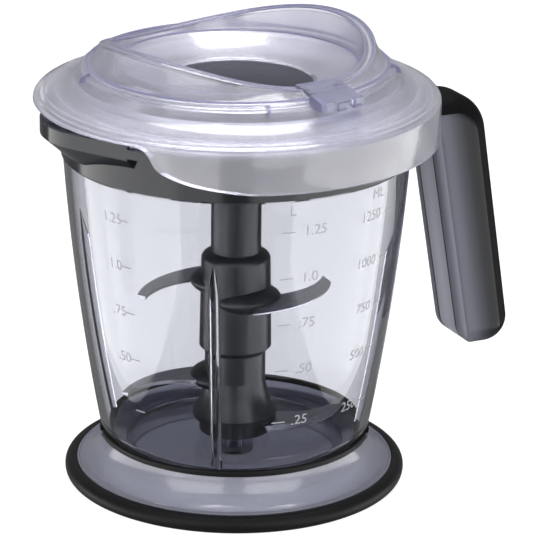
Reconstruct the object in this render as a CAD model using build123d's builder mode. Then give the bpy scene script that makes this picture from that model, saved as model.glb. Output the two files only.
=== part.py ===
from build123d import *
from math import acos, cos, pi, radians, sin, sqrt, tan
import os

os.makedirs("parts", exist_ok=True)

# Every length is in millimetres. The jug's axis is Z, the handle points along +X, the spout along -X,
# and the base ring stands on Z = 0.

# Clearances and shared values
overrun = 5.0
running_fit = 0.05
lift_gap = 0.35

# Base ring: black rubber tyre that stands on the table
ring_radius = 72.0
ring_bulge_height = 3.3
ring_crown_rise = 3.5
ring_crown_inset = 4.4
ring_bore_inset = 12.0
ring_sole_inset = 2.2
ring_lip_inset = 7.6
ring_lip_drop = 0.6

# Base dish: flared smoke-grey saucer held in the ring's groove
dish_foot_grip = 2.0
dish_foot_bottom = 2.4
dish_foot_thickness = 2.4
dish_top_height = 21.5
dish_top_radius = 57.0
dish_wall = 1.8
dish_flare_height_share = 0.37
dish_flare_reach_share = 0.45
dish_notch_angles = (165.0, 325.0)
dish_notch_width = 6.0
dish_notch_depth = 1.6

# Jug: clear tapered beaker, its shoulder just over the dish's lip
jug_wall = 2.4
jug_shoulder_gap = 0.5
jug_shoulder_inset = 0.3
jug_wall_rise = 119.5
jug_widening = 15.2
jug_middle_share = 0.46
jug_wall_swell = 1.7
jug_neck_step = 0.7
jug_rim_rise = 19.1
jug_floor_drop = 4.8
jug_floor_thickness = 2.6
jug_corner_radius = 7.0
jug_toe_rise_share = 0.33
jug_foot_inset = 8.35
jug_foot_wall = 2.4
jug_boss_radius = 8.0
jug_boss_height = 7.5
jug_pip_radius = 6.0
jug_pip_height = 1.0
jug_rib_count = 4
jug_rib_angle = 237.5
jug_rib_width = 4.2
jug_rib_depth = 3.6
jug_rib_top_drop = 29.0
jug_rib_run_out = 9.0
jug_rib_foot_rise = 3.0

# Pivot pin moulded into the jug's floor
pin_radius = 3.0
pin_height = 60.0
pin_embed = 5.5
pin_nose = 1.2

# Rim collar: dark smoke band with a flange, and a flared pouring lip
collar_wall = 1.5
collar_bottom_gap = 0.8
collar_flange_width = 4.8
collar_flange_thickness = 3.8
collar_top_margin = 0.7
spout_overhang = 7.3
spout_nose_radius = 34.0
spout_wall = 2.0
spout_rise = 1.3
spout_droop = 0.9
spout_flare_height = 9.5
spout_flare_inset = 10.5
spout_trough_depth = 5.0

# Handle: side outline in the XZ plane, cut into shell, inner cover and grip
handle_top_gap = 0.5
handle_bottom_height = 43.0
handle_root_drop = 17.4
handle_inner_stand_off = 8.5
handle_inner_lean_reach = 17.3
handle_outer_lean_reach = 18.1
handle_thickness = 24.2
handle_crown_radius = 18.0
handle_foot_radius = 11.0
handle_armpit_radius = 7.0
handle_width = 28.0
handle_outer_round = 9.2
handle_inner_round = 3.6
handle_wall = 2.6
handle_cover_thickness = 2.0
handle_cover_root_thickness = 4.6
grip_thickness = 6.6
grip_top_thickness = 7.0
grip_start_gap = 2.5
handle_screw_setback = 6.5
handle_screw_edge_gap = 3.3
handle_screw_radius = 1.4
handle_screw_head_radius = 2.6
handle_screw_head_height = 1.4
handle_screw_length = 8.4

# Blade unit: hub that turns on the pin, with four curved blades
hub_floor_gap = 0.6
hub_disc_radius = 15.0
hub_disc_height = 6.0
hub_flare_width = 4.8
hub_flare_rim_height = 2.4
hub_flare_rise = 15.0
hub_flare_curve_share = 0.3
hub_waist_radius = 12.8
hub_collar_width = 1.7
hub_collar_taper = 0.7
hub_collar_bottom_height = 57.0
hub_collar_bottom_slope = 2.6
hub_collar_top_drop = 35.5
hub_shoulder_rise = 3.3
hub_tube_inset = 2.3
hub_top_drop = 29.6
hub_bore_clearance = 0.6
hub_bore_top_margin = 3.0
dog_socket_depth = 9.0
dog_socket_width = 11.0
lobe_radius = 14.6
lobe_half_height = 6.0
lobe_offset = 6.4
lobe_angle = -45.0
blade_thickness = 1.6
blade_bevel_width = 3.0
blade_bevel_height = 1.0
blade_unit_angle = -25.0
upper_right_blade_drop = 16.9
upper_left_blade_drop = 12.1
lower_left_blade_rise = 23.0
lower_right_blade_rise = 5.4
lower_blade_wall_gap = 5.85
upper_blade_setback = 5.4
bush_radius = 5.4
bush_length = 12.0
bush_setback = 1.0

# Lid cover: skirt, roof, plug ring and closing disc in one moulding
skirt_flange_gap = 4.3
skirt_wall = 2.2
skirt_bottom_drop = 12.0
skirt_round = 3.0
skirt_top_rise = 7.4
roof_bead_inset = 4.6
roof_bead_height = 0.9
roof_edge_inset = 11.0
roof_edge_rise = 2.0
roof_ledge_inset = 19.6
roof_ledge_rise = 8.4
roof_ledge_width = 4.0
roof_wall = 2.2
swell_reach_share = 0.42
swell_height_share = 0.36
plug_gap = 0.8
plug_wall = 2.4
disc_drop = 10.0
disc_thickness = 2.2
rest_rib_inset = 2.7
rest_rib_wall = 1.6
spout_cut_gap = 3.0
spout_cut_half_share = 0.685
spout_cut_corner_rise = 4.8
spout_cut_corner_share = 0.738
spout_cut_tail_share = 0.929
handle_cut_gap = 1.4
handle_cut_side_gap = 22.0
handle_cut_slope_width = 12.0
gasket_drop = 5.0
gasket_thickness = 2.6
gasket_depth = 1.3
gasket_proud = 0.45

# Coupling collar: crater-shaped mouth that takes the motor unit.
# Its heights are above the roof's ledge, its drops below it.
crater_foot_inset = 1.8
crater_foot_height = 1.0
crater_lean = 5.8
crater_rim_width = 5.4
crater_rim_mean_rise = 8.8
crater_rim_swing = 5.5
crater_peak_angle = 17.0
crater_wall = 2.2
bowl_wall_inset = 6.6
bowl_wall_foot_rise = 1.6
bowl_step_share = 0.573
bowl_step_drop = 1.8
bowl_hole_round = 1.6
bowl_hole_drop = 5.6
coupling_bore_radius = 31.0
coupling_tube_wall = 2.2
coupling_seat_width = 1.8
coupling_seat_gap = 0.8
saddle_margin = 13.2
saddle_rows = 5

# Release lever in the crater's low side, and its pin
lever_angle = 283.0
lever_width = 20.0
lever_side_gap = 0.5
lever_swing_gap = 0.9
lever_front_reach = 6.0
lever_pad_thickness = 2.8
lever_leg_thickness = 2.2
lever_leg_width = 5.0
lever_foot_drop = 2.8
lever_pin_radius = 1.2
lever_pin_inset = 7.7
lever_pin_drop = 0.8
lever_lug_radius = 2.1
lever_lug_width = 4.0
lever_pin_bite = 3.4

# Reduction gear under the disc: sun, three planets and a fixed ring gear
gear_module = 1.0
gear_pressure_angle = 25.0
gear_addendum_share = 0.9
gear_dedendum_share = 1.15
gear_backlash = 0.14
sun_teeth = 12
planet_teeth = 15
ring_teeth = 42
planet_count = 3
gear_width = 6.0
gear_side_gap = 0.4
ring_gear_rim = 3.0
planet_pin_radius = 1.5
carrier_thickness = 2.2
carrier_rim_margin = 3.2
carrier_hub_radius = 6.6
carrier_gap = 0.4
housing_wall = 2.6
housing_floor = 2.4
housing_flange_width = 10.0
housing_flange_thickness = 2.2
gear_cover_thickness = 2.0
gear_cover_step = 1.2
sun_shaft_radius = 3.2
bush_wall = 1.4
dog_clearance = 0.3
dog_engagement = 6.5
drive_coupling_radius = 7.0
drive_coupling_length = 8.0
drive_coupling_gap = 0.6
drive_coupling_slot_width = 3.0
drive_coupling_slot_depth = 4.0
housing_screw_count = 4
housing_screw_radius = 1.4
housing_screw_head_radius = 2.6
housing_screw_head_height = 1.4
housing_screw_length = 5.6
disc_boss_radius = 3.2
disc_boss_height = 4.4


def radial_plane(angle):
    # plane through the axis, X outward at the given angle and Y upward
    a = radians(angle)
    return Plane(origin=(0, 0, 0), x_dir=(cos(a), sin(a), 0), z_dir=(sin(a), -cos(a), 0))


def level_plane(height, angle):
    # horizontal plane at a height, its X turned to the given angle
    a = radians(angle)
    return Plane(origin=(0, 0, height), x_dir=(cos(a), sin(a), 0), z_dir=(0, 0, 1))


def finish(part, name):
    part.label = name
    export_step(part, "parts/" + name + ".step")


# Base ring
dish_foot_top = dish_foot_bottom + dish_foot_thickness
ring_height = ring_bulge_height + ring_crown_rise
ring_bore_radius = ring_radius - ring_bore_inset
ring_lip_radius = ring_radius - ring_lip_inset
dish_foot_radius = ring_lip_radius + dish_foot_grip

with BuildPart() as base_ring:
    with BuildSketch(Plane.XZ):
        with BuildLine():
            Line((ring_bore_radius, 0), (ring_radius - ring_sole_inset, 0))
            EllipticalCenterArc(
                (ring_radius - ring_sole_inset, ring_bulge_height),
                ring_sole_inset,
                ring_bulge_height,
                start_angle=270,
            )
            crown = EllipticalCenterArc(
                (ring_radius - ring_crown_inset, ring_bulge_height),
                ring_crown_inset,
                ring_crown_rise,
            )
            Polyline(
                crown @ 1,
                (ring_lip_radius, ring_height - ring_lip_drop),
                (ring_lip_radius, dish_foot_top),
                (dish_foot_radius, dish_foot_top),
                (dish_foot_radius, dish_foot_bottom),
                (ring_bore_radius, dish_foot_bottom),
                (ring_bore_radius, 0),
            )
        make_face()
    revolve(axis=Axis.Z)
finish(base_ring.part, "base_ring")

# Base dish: flat floor, foot flange in the ring's groove, flared wall with a rounded lip
dish_floor_top = dish_foot_top
dish_lip_inner = dish_top_radius - dish_wall
dish_flare_height = dish_floor_top + (dish_top_height - dish_floor_top) * dish_flare_height_share
dish_flare_radius = dish_top_radius + (ring_lip_radius - dish_top_radius) * dish_flare_reach_share

with BuildPart() as base_dish:
    with BuildSketch(Plane.XZ):
        with BuildLine():
            underside = Line((0, dish_foot_bottom), (dish_foot_radius, dish_foot_bottom))
            flange = Polyline(
                underside @ 1, (dish_foot_radius, dish_foot_top), (ring_lip_radius, dish_foot_top)
            )
            flare = ThreePointArc(
                flange @ 1,
                (dish_flare_radius, dish_flare_height),
                (dish_top_radius, dish_top_height - dish_wall / 2),
            )
            lip = ThreePointArc(
                flare @ 1,
                (dish_top_radius - dish_wall / 2, dish_top_height),
                (dish_lip_inner, dish_top_height - dish_wall / 2),
            )
            inside = ThreePointArc(
                lip @ 1,
                (dish_flare_radius - dish_wall, dish_flare_height),
                (ring_lip_radius - dish_wall, dish_floor_top),
            )
            Polyline(inside @ 1, (0, dish_floor_top), (0, dish_foot_bottom))
        make_face()
    revolve(axis=Axis.Z)
    # two notches in the lip
    for angle in dish_notch_angles:
        with BuildSketch(level_plane(dish_top_height - dish_notch_depth, angle)):
            with Locations((dish_top_radius, 0)):
                Rectangle(2 * overrun, dish_notch_width)
        extrude(amount=overrun, mode=Mode.SUBTRACT)
finish(base_dish.part, "base_dish")

# Jug: outer and inner walls are long arcs, so the beaker swells a little as it widens
jug_shoulder_height = dish_top_height + jug_shoulder_gap
jug_shoulder_radius = dish_top_radius - jug_shoulder_inset
jug_middle_height = jug_shoulder_height + jug_wall_rise * jug_middle_share
jug_middle_radius = jug_shoulder_radius + jug_widening * jug_middle_share + jug_wall_swell
jug_neck_height = jug_shoulder_height + jug_wall_rise
jug_neck_radius = jug_shoulder_radius + jug_widening
jug_rim_height = jug_neck_height + jug_rim_rise
jug_floor_height = jug_shoulder_height - jug_floor_drop
jug_rib_top_height = jug_neck_height - jug_rib_top_drop
jug_rib_foot_height = jug_shoulder_height + jug_rib_foot_rise
jug_lower_radius = dish_lip_inner - lift_gap
jug_foot_radius = jug_lower_radius - jug_foot_inset
jug_inner_lower_radius = jug_lower_radius - jug_wall
jug_foot_bottom = dish_floor_top + lift_gap
jug_floor_bottom = jug_floor_height - jug_floor_thickness
neck_radius = jug_neck_radius - jug_neck_step
neck_bore_radius = neck_radius - jug_wall
wall_rise_height = jug_shoulder_height + jug_wall
corner = jug_corner_radius
corner_chord = corner * (1 - cos(pi / 4))
outer_corner_height = jug_shoulder_height - jug_wall

with BuildPart() as jug_body:
    with BuildSketch(Plane.XZ):
        with BuildLine():
            foot = Polyline(
                (0, jug_floor_bottom),
                (jug_foot_radius - jug_foot_wall, jug_floor_bottom),
                (jug_foot_radius - jug_foot_wall, jug_foot_bottom),
                (jug_foot_radius, jug_foot_bottom),
                (jug_foot_radius, outer_corner_height - corner),
            )
            heel = ThreePointArc(
                foot @ 1,
                (jug_lower_radius - corner_chord, outer_corner_height - corner + corner_chord),
                (jug_lower_radius, outer_corner_height),
            )
            shoulder = Polyline(
                heel @ 1, (jug_lower_radius, jug_shoulder_height), (jug_shoulder_radius, jug_shoulder_height)
            )
            outer_wall = ThreePointArc(
                shoulder @ 1, (jug_middle_radius, jug_middle_height), (jug_neck_radius, jug_neck_height)
            )
            rim = Polyline(
                outer_wall @ 1,
                (neck_radius, jug_neck_height),
                (neck_radius, jug_rim_height),
                (neck_bore_radius, jug_rim_height),
                (neck_bore_radius, jug_neck_height),
            )
            inner_wall = ThreePointArc(
                rim @ 1,
                (jug_middle_radius - jug_wall, jug_middle_height),
                (jug_shoulder_radius - jug_wall, wall_rise_height),
            )
            toe = ThreePointArc(
                inner_wall @ 1,
                (jug_inner_lower_radius - corner_chord / 2, jug_floor_height + corner * jug_toe_rise_share),
                (jug_inner_lower_radius - corner, jug_floor_height),
            )
            Polyline(toe @ 1, (0, jug_floor_height), (0, jug_floor_bottom))
        make_face()
    revolve(axis=Axis.Z)
    # boss under the floor that holds the pivot pin, and the pip round the pin inside
    with BuildSketch(Plane.XY.offset(jug_floor_bottom - jug_boss_height)):
        Circle(jug_boss_radius)
    extrude(amount=jug_boss_height)
    with BuildSketch(Plane.XY.offset(jug_floor_height)):
        Circle(jug_pip_radius)
    extrude(amount=jug_pip_height)
    # stirring ribs on the inside wall
    for i in range(jug_rib_count):
        rib_angle = jug_rib_angle + 360 / jug_rib_count * i
        with BuildSketch(radial_plane(rib_angle)):
            with BuildLine():
                top_radius = neck_bore_radius - (jug_neck_height - jug_rib_top_height) / (
                    jug_neck_height - jug_middle_height
                ) * (neck_bore_radius - jug_middle_radius + jug_wall)
                back = ThreePointArc(
                    (jug_shoulder_radius - jug_wall / 2, jug_rib_foot_height),
                    (jug_middle_radius - jug_wall / 2, jug_middle_height),
                    (top_radius + jug_wall, jug_rib_top_height),
                )
                point = Line(back @ 1, (top_radius - jug_rib_depth, jug_rib_top_height - jug_rib_run_out))
                front = ThreePointArc(
                    point @ 1,
                    (jug_middle_radius - jug_wall - jug_rib_depth, jug_middle_height),
                    (jug_shoulder_radius - jug_wall - jug_rib_depth, jug_rib_foot_height),
                )
                Polyline(
                    front @ 1,
                    (jug_shoulder_radius - jug_wall - jug_rib_depth, jug_floor_height),
                    (jug_inner_lower_radius, jug_shoulder_height - jug_wall / 2),
                    back @ 0,
                )
            make_face()
        extrude(amount=jug_rib_width / 2, both=True)
    # bore for the pivot pin
    with BuildSketch(Plane.XY.offset(jug_floor_height + jug_pip_height)):
        Circle(pin_radius)
    extrude(amount=-(jug_pip_height + jug_floor_thickness + pin_embed), mode=Mode.SUBTRACT)
finish(jug_body.part, "jug_body")

# Pivot pin, pressed into the floor's boss
pin_bottom = jug_floor_bottom - pin_embed

with BuildPart() as pivot_pin:
    with BuildSketch(Plane.XY.offset(pin_bottom)):
        Circle(pin_radius)
    extrude(amount=pin_height - pin_bottom)
    chamfer(pivot_pin.faces().sort_by(Axis.Z)[-1].edges(), pin_nose)
finish(pivot_pin.part, "pivot_pin")


# Rim collar: band on the jug's neck, flange, and the pouring lip towards -X
band_radius = neck_radius + collar_wall
collar_bottom_height = jug_neck_height + collar_bottom_gap
collar_flange_radius = band_radius + collar_flange_width
spout_reach = collar_flange_radius + spout_overhang
flange_top = jug_rim_height + collar_top_margin
flange_bottom = flange_top - collar_flange_thickness
nose_centre = spout_reach - spout_nose_radius
spout_top = flange_top + spout_rise
spout_bottom = flange_bottom - spout_droop
spout_trough_inset = spout_wall + spout_trough_depth * spout_flare_inset / spout_flare_height
skirt_radius = collar_flange_radius + skirt_flange_gap + skirt_wall
handle_top = flange_bottom - handle_top_gap
handle_root_bottom_height = jug_rim_height - handle_root_drop
handle_screw_reach = band_radius + handle_screw_setback
grip_start_reach = skirt_radius + grip_start_gap
tongue_bottom = handle_root_bottom_height + handle_cover_root_thickness
tongue_top = handle_top - handle_wall
tongue_half_width = handle_width / 2 - 2 * handle_wall
tongue_reach = grip_start_reach - handle_wall


def spout_outline(inset):
    # nose of the lip, tangent to the flange's circle on both sides
    big = collar_flange_radius - inset
    small = spout_nose_radius - inset
    turn = acos((big - small) / nose_centre)
    with BuildLine() as outline:
        upper = Line(
            (-big * cos(turn), big * sin(turn)),
            (-nose_centre - small * cos(turn), small * sin(turn)),
        )
        nose = ThreePointArc(
            upper @ 1, (-nose_centre - small, 0), (-nose_centre - small * cos(turn), -small * sin(turn))
        )
        Polyline(nose @ 1, (-big * cos(turn), -big * sin(turn)), (0, 0), upper @ 0)
    return outline


handle_screw_half_spacing = tongue_half_width - handle_screw_edge_gap
handle_screw_spots = [(handle_screw_reach, side * handle_screw_half_spacing) for side in (-1, 1)]

with BuildPart() as rim_collar:
    with BuildSketch(Plane.XZ):
        with BuildLine():
            Polyline(
                (neck_radius, collar_bottom_height),
                (band_radius, collar_bottom_height),
                (band_radius, flange_bottom - collar_wall),
                (band_radius + collar_wall, flange_bottom),
                (collar_flange_radius, flange_bottom),
                (collar_flange_radius, flange_top),
                (neck_radius, flange_top),
                (neck_radius, collar_bottom_height),
            )
        make_face()
    revolve(axis=Axis.Z)
    # lip, and the flare that runs from it back to the band
    with BuildSketch(Plane.XY.offset(spout_bottom)):
        add(spout_outline(0))
        make_face()
    extrude(amount=spout_top - spout_bottom)
    with BuildSketch(Plane.XY.offset(spout_bottom)):
        add(spout_outline(0))
        make_face()
    with BuildSketch(Plane.XY.offset(spout_bottom - spout_flare_height)):
        add(spout_outline(spout_flare_inset))
        make_face()
    loft(ruled=True)
    # trough that the food runs along
    with BuildSketch(Plane.XY.offset(flange_top)):
        add(spout_outline(spout_wall))
        make_face()
    extrude(amount=overrun, mode=Mode.SUBTRACT)
    with BuildSketch(Plane.XY.offset(flange_top)):
        add(spout_outline(spout_wall))
        make_face()
    with BuildSketch(Plane.XY.offset(flange_top - spout_trough_depth)):
        add(spout_outline(spout_trough_inset))
        make_face()
    loft(ruled=True, mode=Mode.SUBTRACT)
    # tongue that reaches into the handle
    with BuildSketch(Plane.XY.offset(tongue_bottom)):
        with Locations((tongue_reach / 2, 0)):
            Rectangle(tongue_reach, 2 * tongue_half_width)
    extrude(amount=tongue_top - tongue_bottom)
    with BuildSketch(Plane.XY.offset(collar_bottom_height - overrun)):
        Circle(neck_radius)
    extrude(amount=jug_rim_height, mode=Mode.SUBTRACT)
    with BuildSketch(Plane.XY.offset(tongue_bottom)):
        with Locations(*handle_screw_spots):
            Circle(handle_screw_radius)
    extrude(amount=handle_screw_length - handle_cover_root_thickness, mode=Mode.SUBTRACT)
finish(rim_collar.part, "rim_collar")

# Handle: one outline, cut along two seams
handle_inner_top_reach = collar_flange_radius + handle_inner_stand_off
handle_inner_foot_reach = handle_inner_top_reach + handle_inner_lean_reach
handle_outer_top_reach = handle_inner_top_reach + handle_thickness
handle_outer_foot_reach = handle_outer_top_reach + handle_outer_lean_reach


def handle_block(inner_shift, side_round):
    # the handle's outline at its full width, its sides rounded; the shift widens it towards the jug
    with BuildPart() as block:
        with BuildSketch(Plane.XZ):
            with BuildLine():
                outline = FilletPolyline(
                    (jug_lower_radius, handle_top),
                    (handle_outer_top_reach, handle_top),
                    (handle_outer_foot_reach, handle_bottom_height),
                    (handle_inner_foot_reach - inner_shift, handle_bottom_height),
                    (handle_inner_top_reach - inner_shift, handle_root_bottom_height - inner_shift),
                    (jug_lower_radius, handle_root_bottom_height - inner_shift),
                    radius=[
                        handle_crown_radius, handle_foot_radius, handle_foot_radius, handle_armpit_radius,
                    ],
                )
                Line(outline @ 1, outline @ 0)
            make_face()
        extrude(amount=handle_width / 2, both=True)
        side_edges = block.faces().filter_by(Axis.Y).edges().filter_by(
            lambda e: e.center().X > jug_lower_radius + running_fit
        )
        fillet(side_edges, side_round)
    return block.part


# the first has the small rounding of the inner side, the second the large rounding of the outer side
inner_rounded = handle_block(0, handle_inner_round)
outer_rounded = handle_block(handle_outer_round, handle_outer_round)

with BuildPart() as handle_form:
    add(inner_rounded)
    add(outer_rounded, mode=Mode.INTERSECT)
    with BuildSketch(Plane.XY.offset(handle_bottom_height)):
        Circle(band_radius)
    extrude(amount=handle_top, mode=Mode.SUBTRACT)
    # clearance round the flare under the flange
    with BuildSketch(Plane.XZ):
        with BuildLine():
            Polyline(
                (neck_radius, flange_bottom - collar_wall),
                (band_radius, flange_bottom - collar_wall),
                (band_radius + collar_wall, flange_bottom),
                (neck_radius, flange_bottom),
                (neck_radius, flange_bottom - collar_wall),
            )
        make_face()
    revolve(axis=Axis.Z, mode=Mode.SUBTRACT)

outer_length = handle_top - handle_bottom_height
inner_length = handle_root_bottom_height - handle_bottom_height
outer_lean = (handle_outer_foot_reach - handle_outer_top_reach) / outer_length
inner_lean = (handle_inner_foot_reach - handle_inner_top_reach) / inner_length


def outer_reach(height, inset):
    # place of the outer side at a height, moved in by an inset
    return handle_outer_top_reach + outer_lean * (handle_top - height) - inset


def inner_reach(height, inset):
    # place of the inner side at a height, moved out by an inset
    return handle_inner_top_reach + inner_lean * (handle_root_bottom_height - height) + inset


with BuildPart() as cover_region:
    with BuildSketch(Plane.XZ):
        with BuildLine():
            seam = FilletPolyline(
                (jug_lower_radius, tongue_bottom),
                (inner_reach(tongue_bottom, handle_cover_thickness), tongue_bottom),
                (inner_reach(0, handle_cover_thickness), 0),
                radius=handle_armpit_radius + handle_cover_thickness,
            )
            Polyline(seam @ 1, (0, 0), (0, tongue_bottom), seam @ 0)
        make_face()
    extrude(amount=handle_width, both=True)

grip_bottom = handle_top - grip_top_thickness

with BuildPart() as grip_region:
    with BuildSketch(Plane.XZ):
        with BuildLine():
            edge = FilletPolyline(
                (grip_start_reach, grip_bottom),
                (outer_reach(grip_bottom, grip_thickness), grip_bottom),
                (outer_reach(0, grip_thickness), 0),
                radius=handle_crown_radius - grip_thickness,
            )
            Polyline(
                edge @ 1,
                (handle_outer_foot_reach + handle_width, 0),
                (handle_outer_foot_reach + handle_width, handle_top + overrun),
                (grip_start_reach, handle_top + overrun),
                edge @ 0,
            )
        make_face()
    extrude(amount=handle_width, both=True)

cavity_top = grip_bottom - handle_wall
cavity_bend_height = cavity_top - handle_crown_radius / 2
cavity_foot = handle_bottom_height + handle_outer_round
cavity_neck = handle_root_bottom_height - handle_wall
cavity_inset = grip_thickness + handle_wall

with BuildPart() as shell_cavity:
    with BuildSketch(Plane.XZ):
        with BuildLine():
            Polyline(
                (0, tongue_top),
                (tongue_reach, tongue_top),
                (tongue_reach, cavity_top),
                (outer_reach(cavity_bend_height, cavity_inset + handle_wall), cavity_top),
                (outer_reach(cavity_bend_height, cavity_inset), cavity_bend_height),
                (outer_reach(cavity_foot, cavity_inset), cavity_foot),
                (inner_reach(cavity_foot, handle_cover_thickness), cavity_foot),
                (0, cavity_foot),
                (0, tongue_top),
            )
        make_face()
    extrude(amount=tongue_half_width, both=True)
    # wider below the root
    with BuildSketch(Plane.XZ):
        with BuildLine():
            Polyline(
                (inner_reach(cavity_neck, handle_cover_thickness), cavity_neck),
                (outer_reach(cavity_neck, cavity_inset), cavity_neck),
                (outer_reach(cavity_foot, cavity_inset), cavity_foot),
                (inner_reach(cavity_foot, handle_cover_thickness), cavity_foot),
                (inner_reach(cavity_neck, handle_cover_thickness), cavity_neck),
            )
        make_face()
    extrude(amount=handle_width / 2 - handle_wall, both=True)

with BuildPart() as handle_inner_cover:
    add(handle_form.part)
    add(cover_region.part, mode=Mode.INTERSECT)
    with BuildSketch(Plane.XY.offset(handle_root_bottom_height - overrun)):
        with Locations(*handle_screw_spots):
            Circle(handle_screw_radius)
    extrude(amount=2 * overrun + handle_cover_root_thickness, mode=Mode.SUBTRACT)
    with BuildSketch(Plane.XY.offset(handle_root_bottom_height - overrun)):
        with Locations(*handle_screw_spots):
            Circle(handle_screw_head_radius)
    extrude(amount=overrun + handle_screw_head_height, mode=Mode.SUBTRACT)
finish(handle_inner_cover.part, "handle_inner_cover")

with BuildPart() as handle_grip:
    add(handle_form.part)
    add(grip_region.part, mode=Mode.INTERSECT)
finish(handle_grip.part, "handle_grip")

with BuildPart() as handle_shell:
    add(handle_form.part)
    add(cover_region.part, mode=Mode.SUBTRACT)
    add(grip_region.part, mode=Mode.SUBTRACT)
    add(shell_cavity.part, mode=Mode.SUBTRACT)
finish(handle_shell.part, "handle_shell")

with BuildPart() as handle_screws:
    with BuildSketch(Plane.XY.offset(handle_root_bottom_height)):
        with Locations(*handle_screw_spots):
            Circle(handle_screw_radius)
    extrude(amount=handle_screw_length)
    with BuildSketch(Plane.XY.offset(handle_root_bottom_height)):
        with Locations(*handle_screw_spots):
            Circle(handle_screw_head_radius)
    extrude(amount=handle_screw_head_height)
finish(handle_screws.part, "handle_screws")


# Blades: each is a sickle between two arcs, with a bevel along its outer edge.
# The shares are of the blade's reach, seen from above with its root along +X.
upper_edge_shares = ((0.17, -0.58), (0.76, -0.13), (0.93, 0.37))
upper_back_shares = ((0.85, 0.49), (0.69, 0.14), (0.40, -0.07))
lower_edge_shares = ((0.28, -0.31), (0.77, -0.03), (0.955, 0.34))
lower_back_shares = ((0.905, 0.41), (0.62, 0.12), (0.36, 0.10))
blade_root_share = 0.15


def blade(name, height, angle, reach, edge_shares, back_shares):
    # a flat steel sickle at a height, its root held inside the hub
    edge_points = [(reach * x, reach * y) for x, y in edge_shares]
    back_points = [(reach * x, reach * y) for x, y in back_shares]
    root = (reach * blade_root_share, 0)
    with BuildPart() as steel:
        with BuildSketch(level_plane(height, angle)):
            with BuildLine():
                edge = ThreePointArc(*edge_points)
                tip = Line(edge @ 1, back_points[0])
                back = ThreePointArc(tip @ 1, back_points[1], back_points[2])
                Polyline(back @ 1, root, edge @ 0)
            make_face()
        extrude(amount=blade_thickness)
        edges = steel.faces().sort_by(Axis.Z)[-1].edges()
        longest = edges.filter_by(GeomType.CIRCLE).sort_by(SortBy.LENGTH)[-1]
        chamfer(longest, blade_bevel_width, blade_bevel_height, reference=steel.faces().sort_by(Axis.Z)[-1])
        with BuildSketch(Plane.XY.offset(height - overrun)):
            Circle(bush_radius)
        extrude(amount=2 * overrun + blade_thickness, mode=Mode.SUBTRACT)
    finish(steel.part, name)
    return steel.part


half_turn = 180
hub_bottom_height = jug_floor_height + jug_pip_height + hub_floor_gap
hub_top_height = jug_rim_height - hub_top_drop
hub_collar_top_height = hub_top_height - hub_collar_top_drop
upper_right_blade_height = hub_collar_top_height - upper_right_blade_drop
upper_left_blade_height = hub_collar_top_height - upper_left_blade_drop
lower_left_blade_height = jug_floor_height + lower_left_blade_rise
lower_right_blade_height = jug_floor_height + lower_right_blade_rise
lower_blade_reach = jug_lower_radius - lower_blade_wall_gap
upper_blade_reach = lower_blade_reach - upper_blade_setback
blades = [
    blade("upper_right_blade", upper_right_blade_height, blade_unit_angle,
          upper_blade_reach, upper_edge_shares, upper_back_shares),
    blade("upper_left_blade", upper_left_blade_height, blade_unit_angle + half_turn,
          upper_blade_reach, upper_edge_shares, upper_back_shares),
    blade("lower_left_blade", lower_left_blade_height, blade_unit_angle + half_turn,
          lower_blade_reach, lower_edge_shares, lower_back_shares),
    blade("lower_right_blade", lower_right_blade_height, blade_unit_angle,
          lower_blade_reach, lower_edge_shares, lower_back_shares),
]

# Hub: tube above, collar and waist with a rounded lobe for each blade root, and a flared foot on a disc
hub_disc_top = hub_bottom_height + hub_disc_height
hub_rim_top = hub_disc_top + hub_flare_rim_height
hub_flare_radius = hub_waist_radius + hub_flare_width
hub_collar_radius = hub_waist_radius + hub_collar_width
hub_tube_radius = hub_waist_radius - hub_tube_inset

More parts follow.
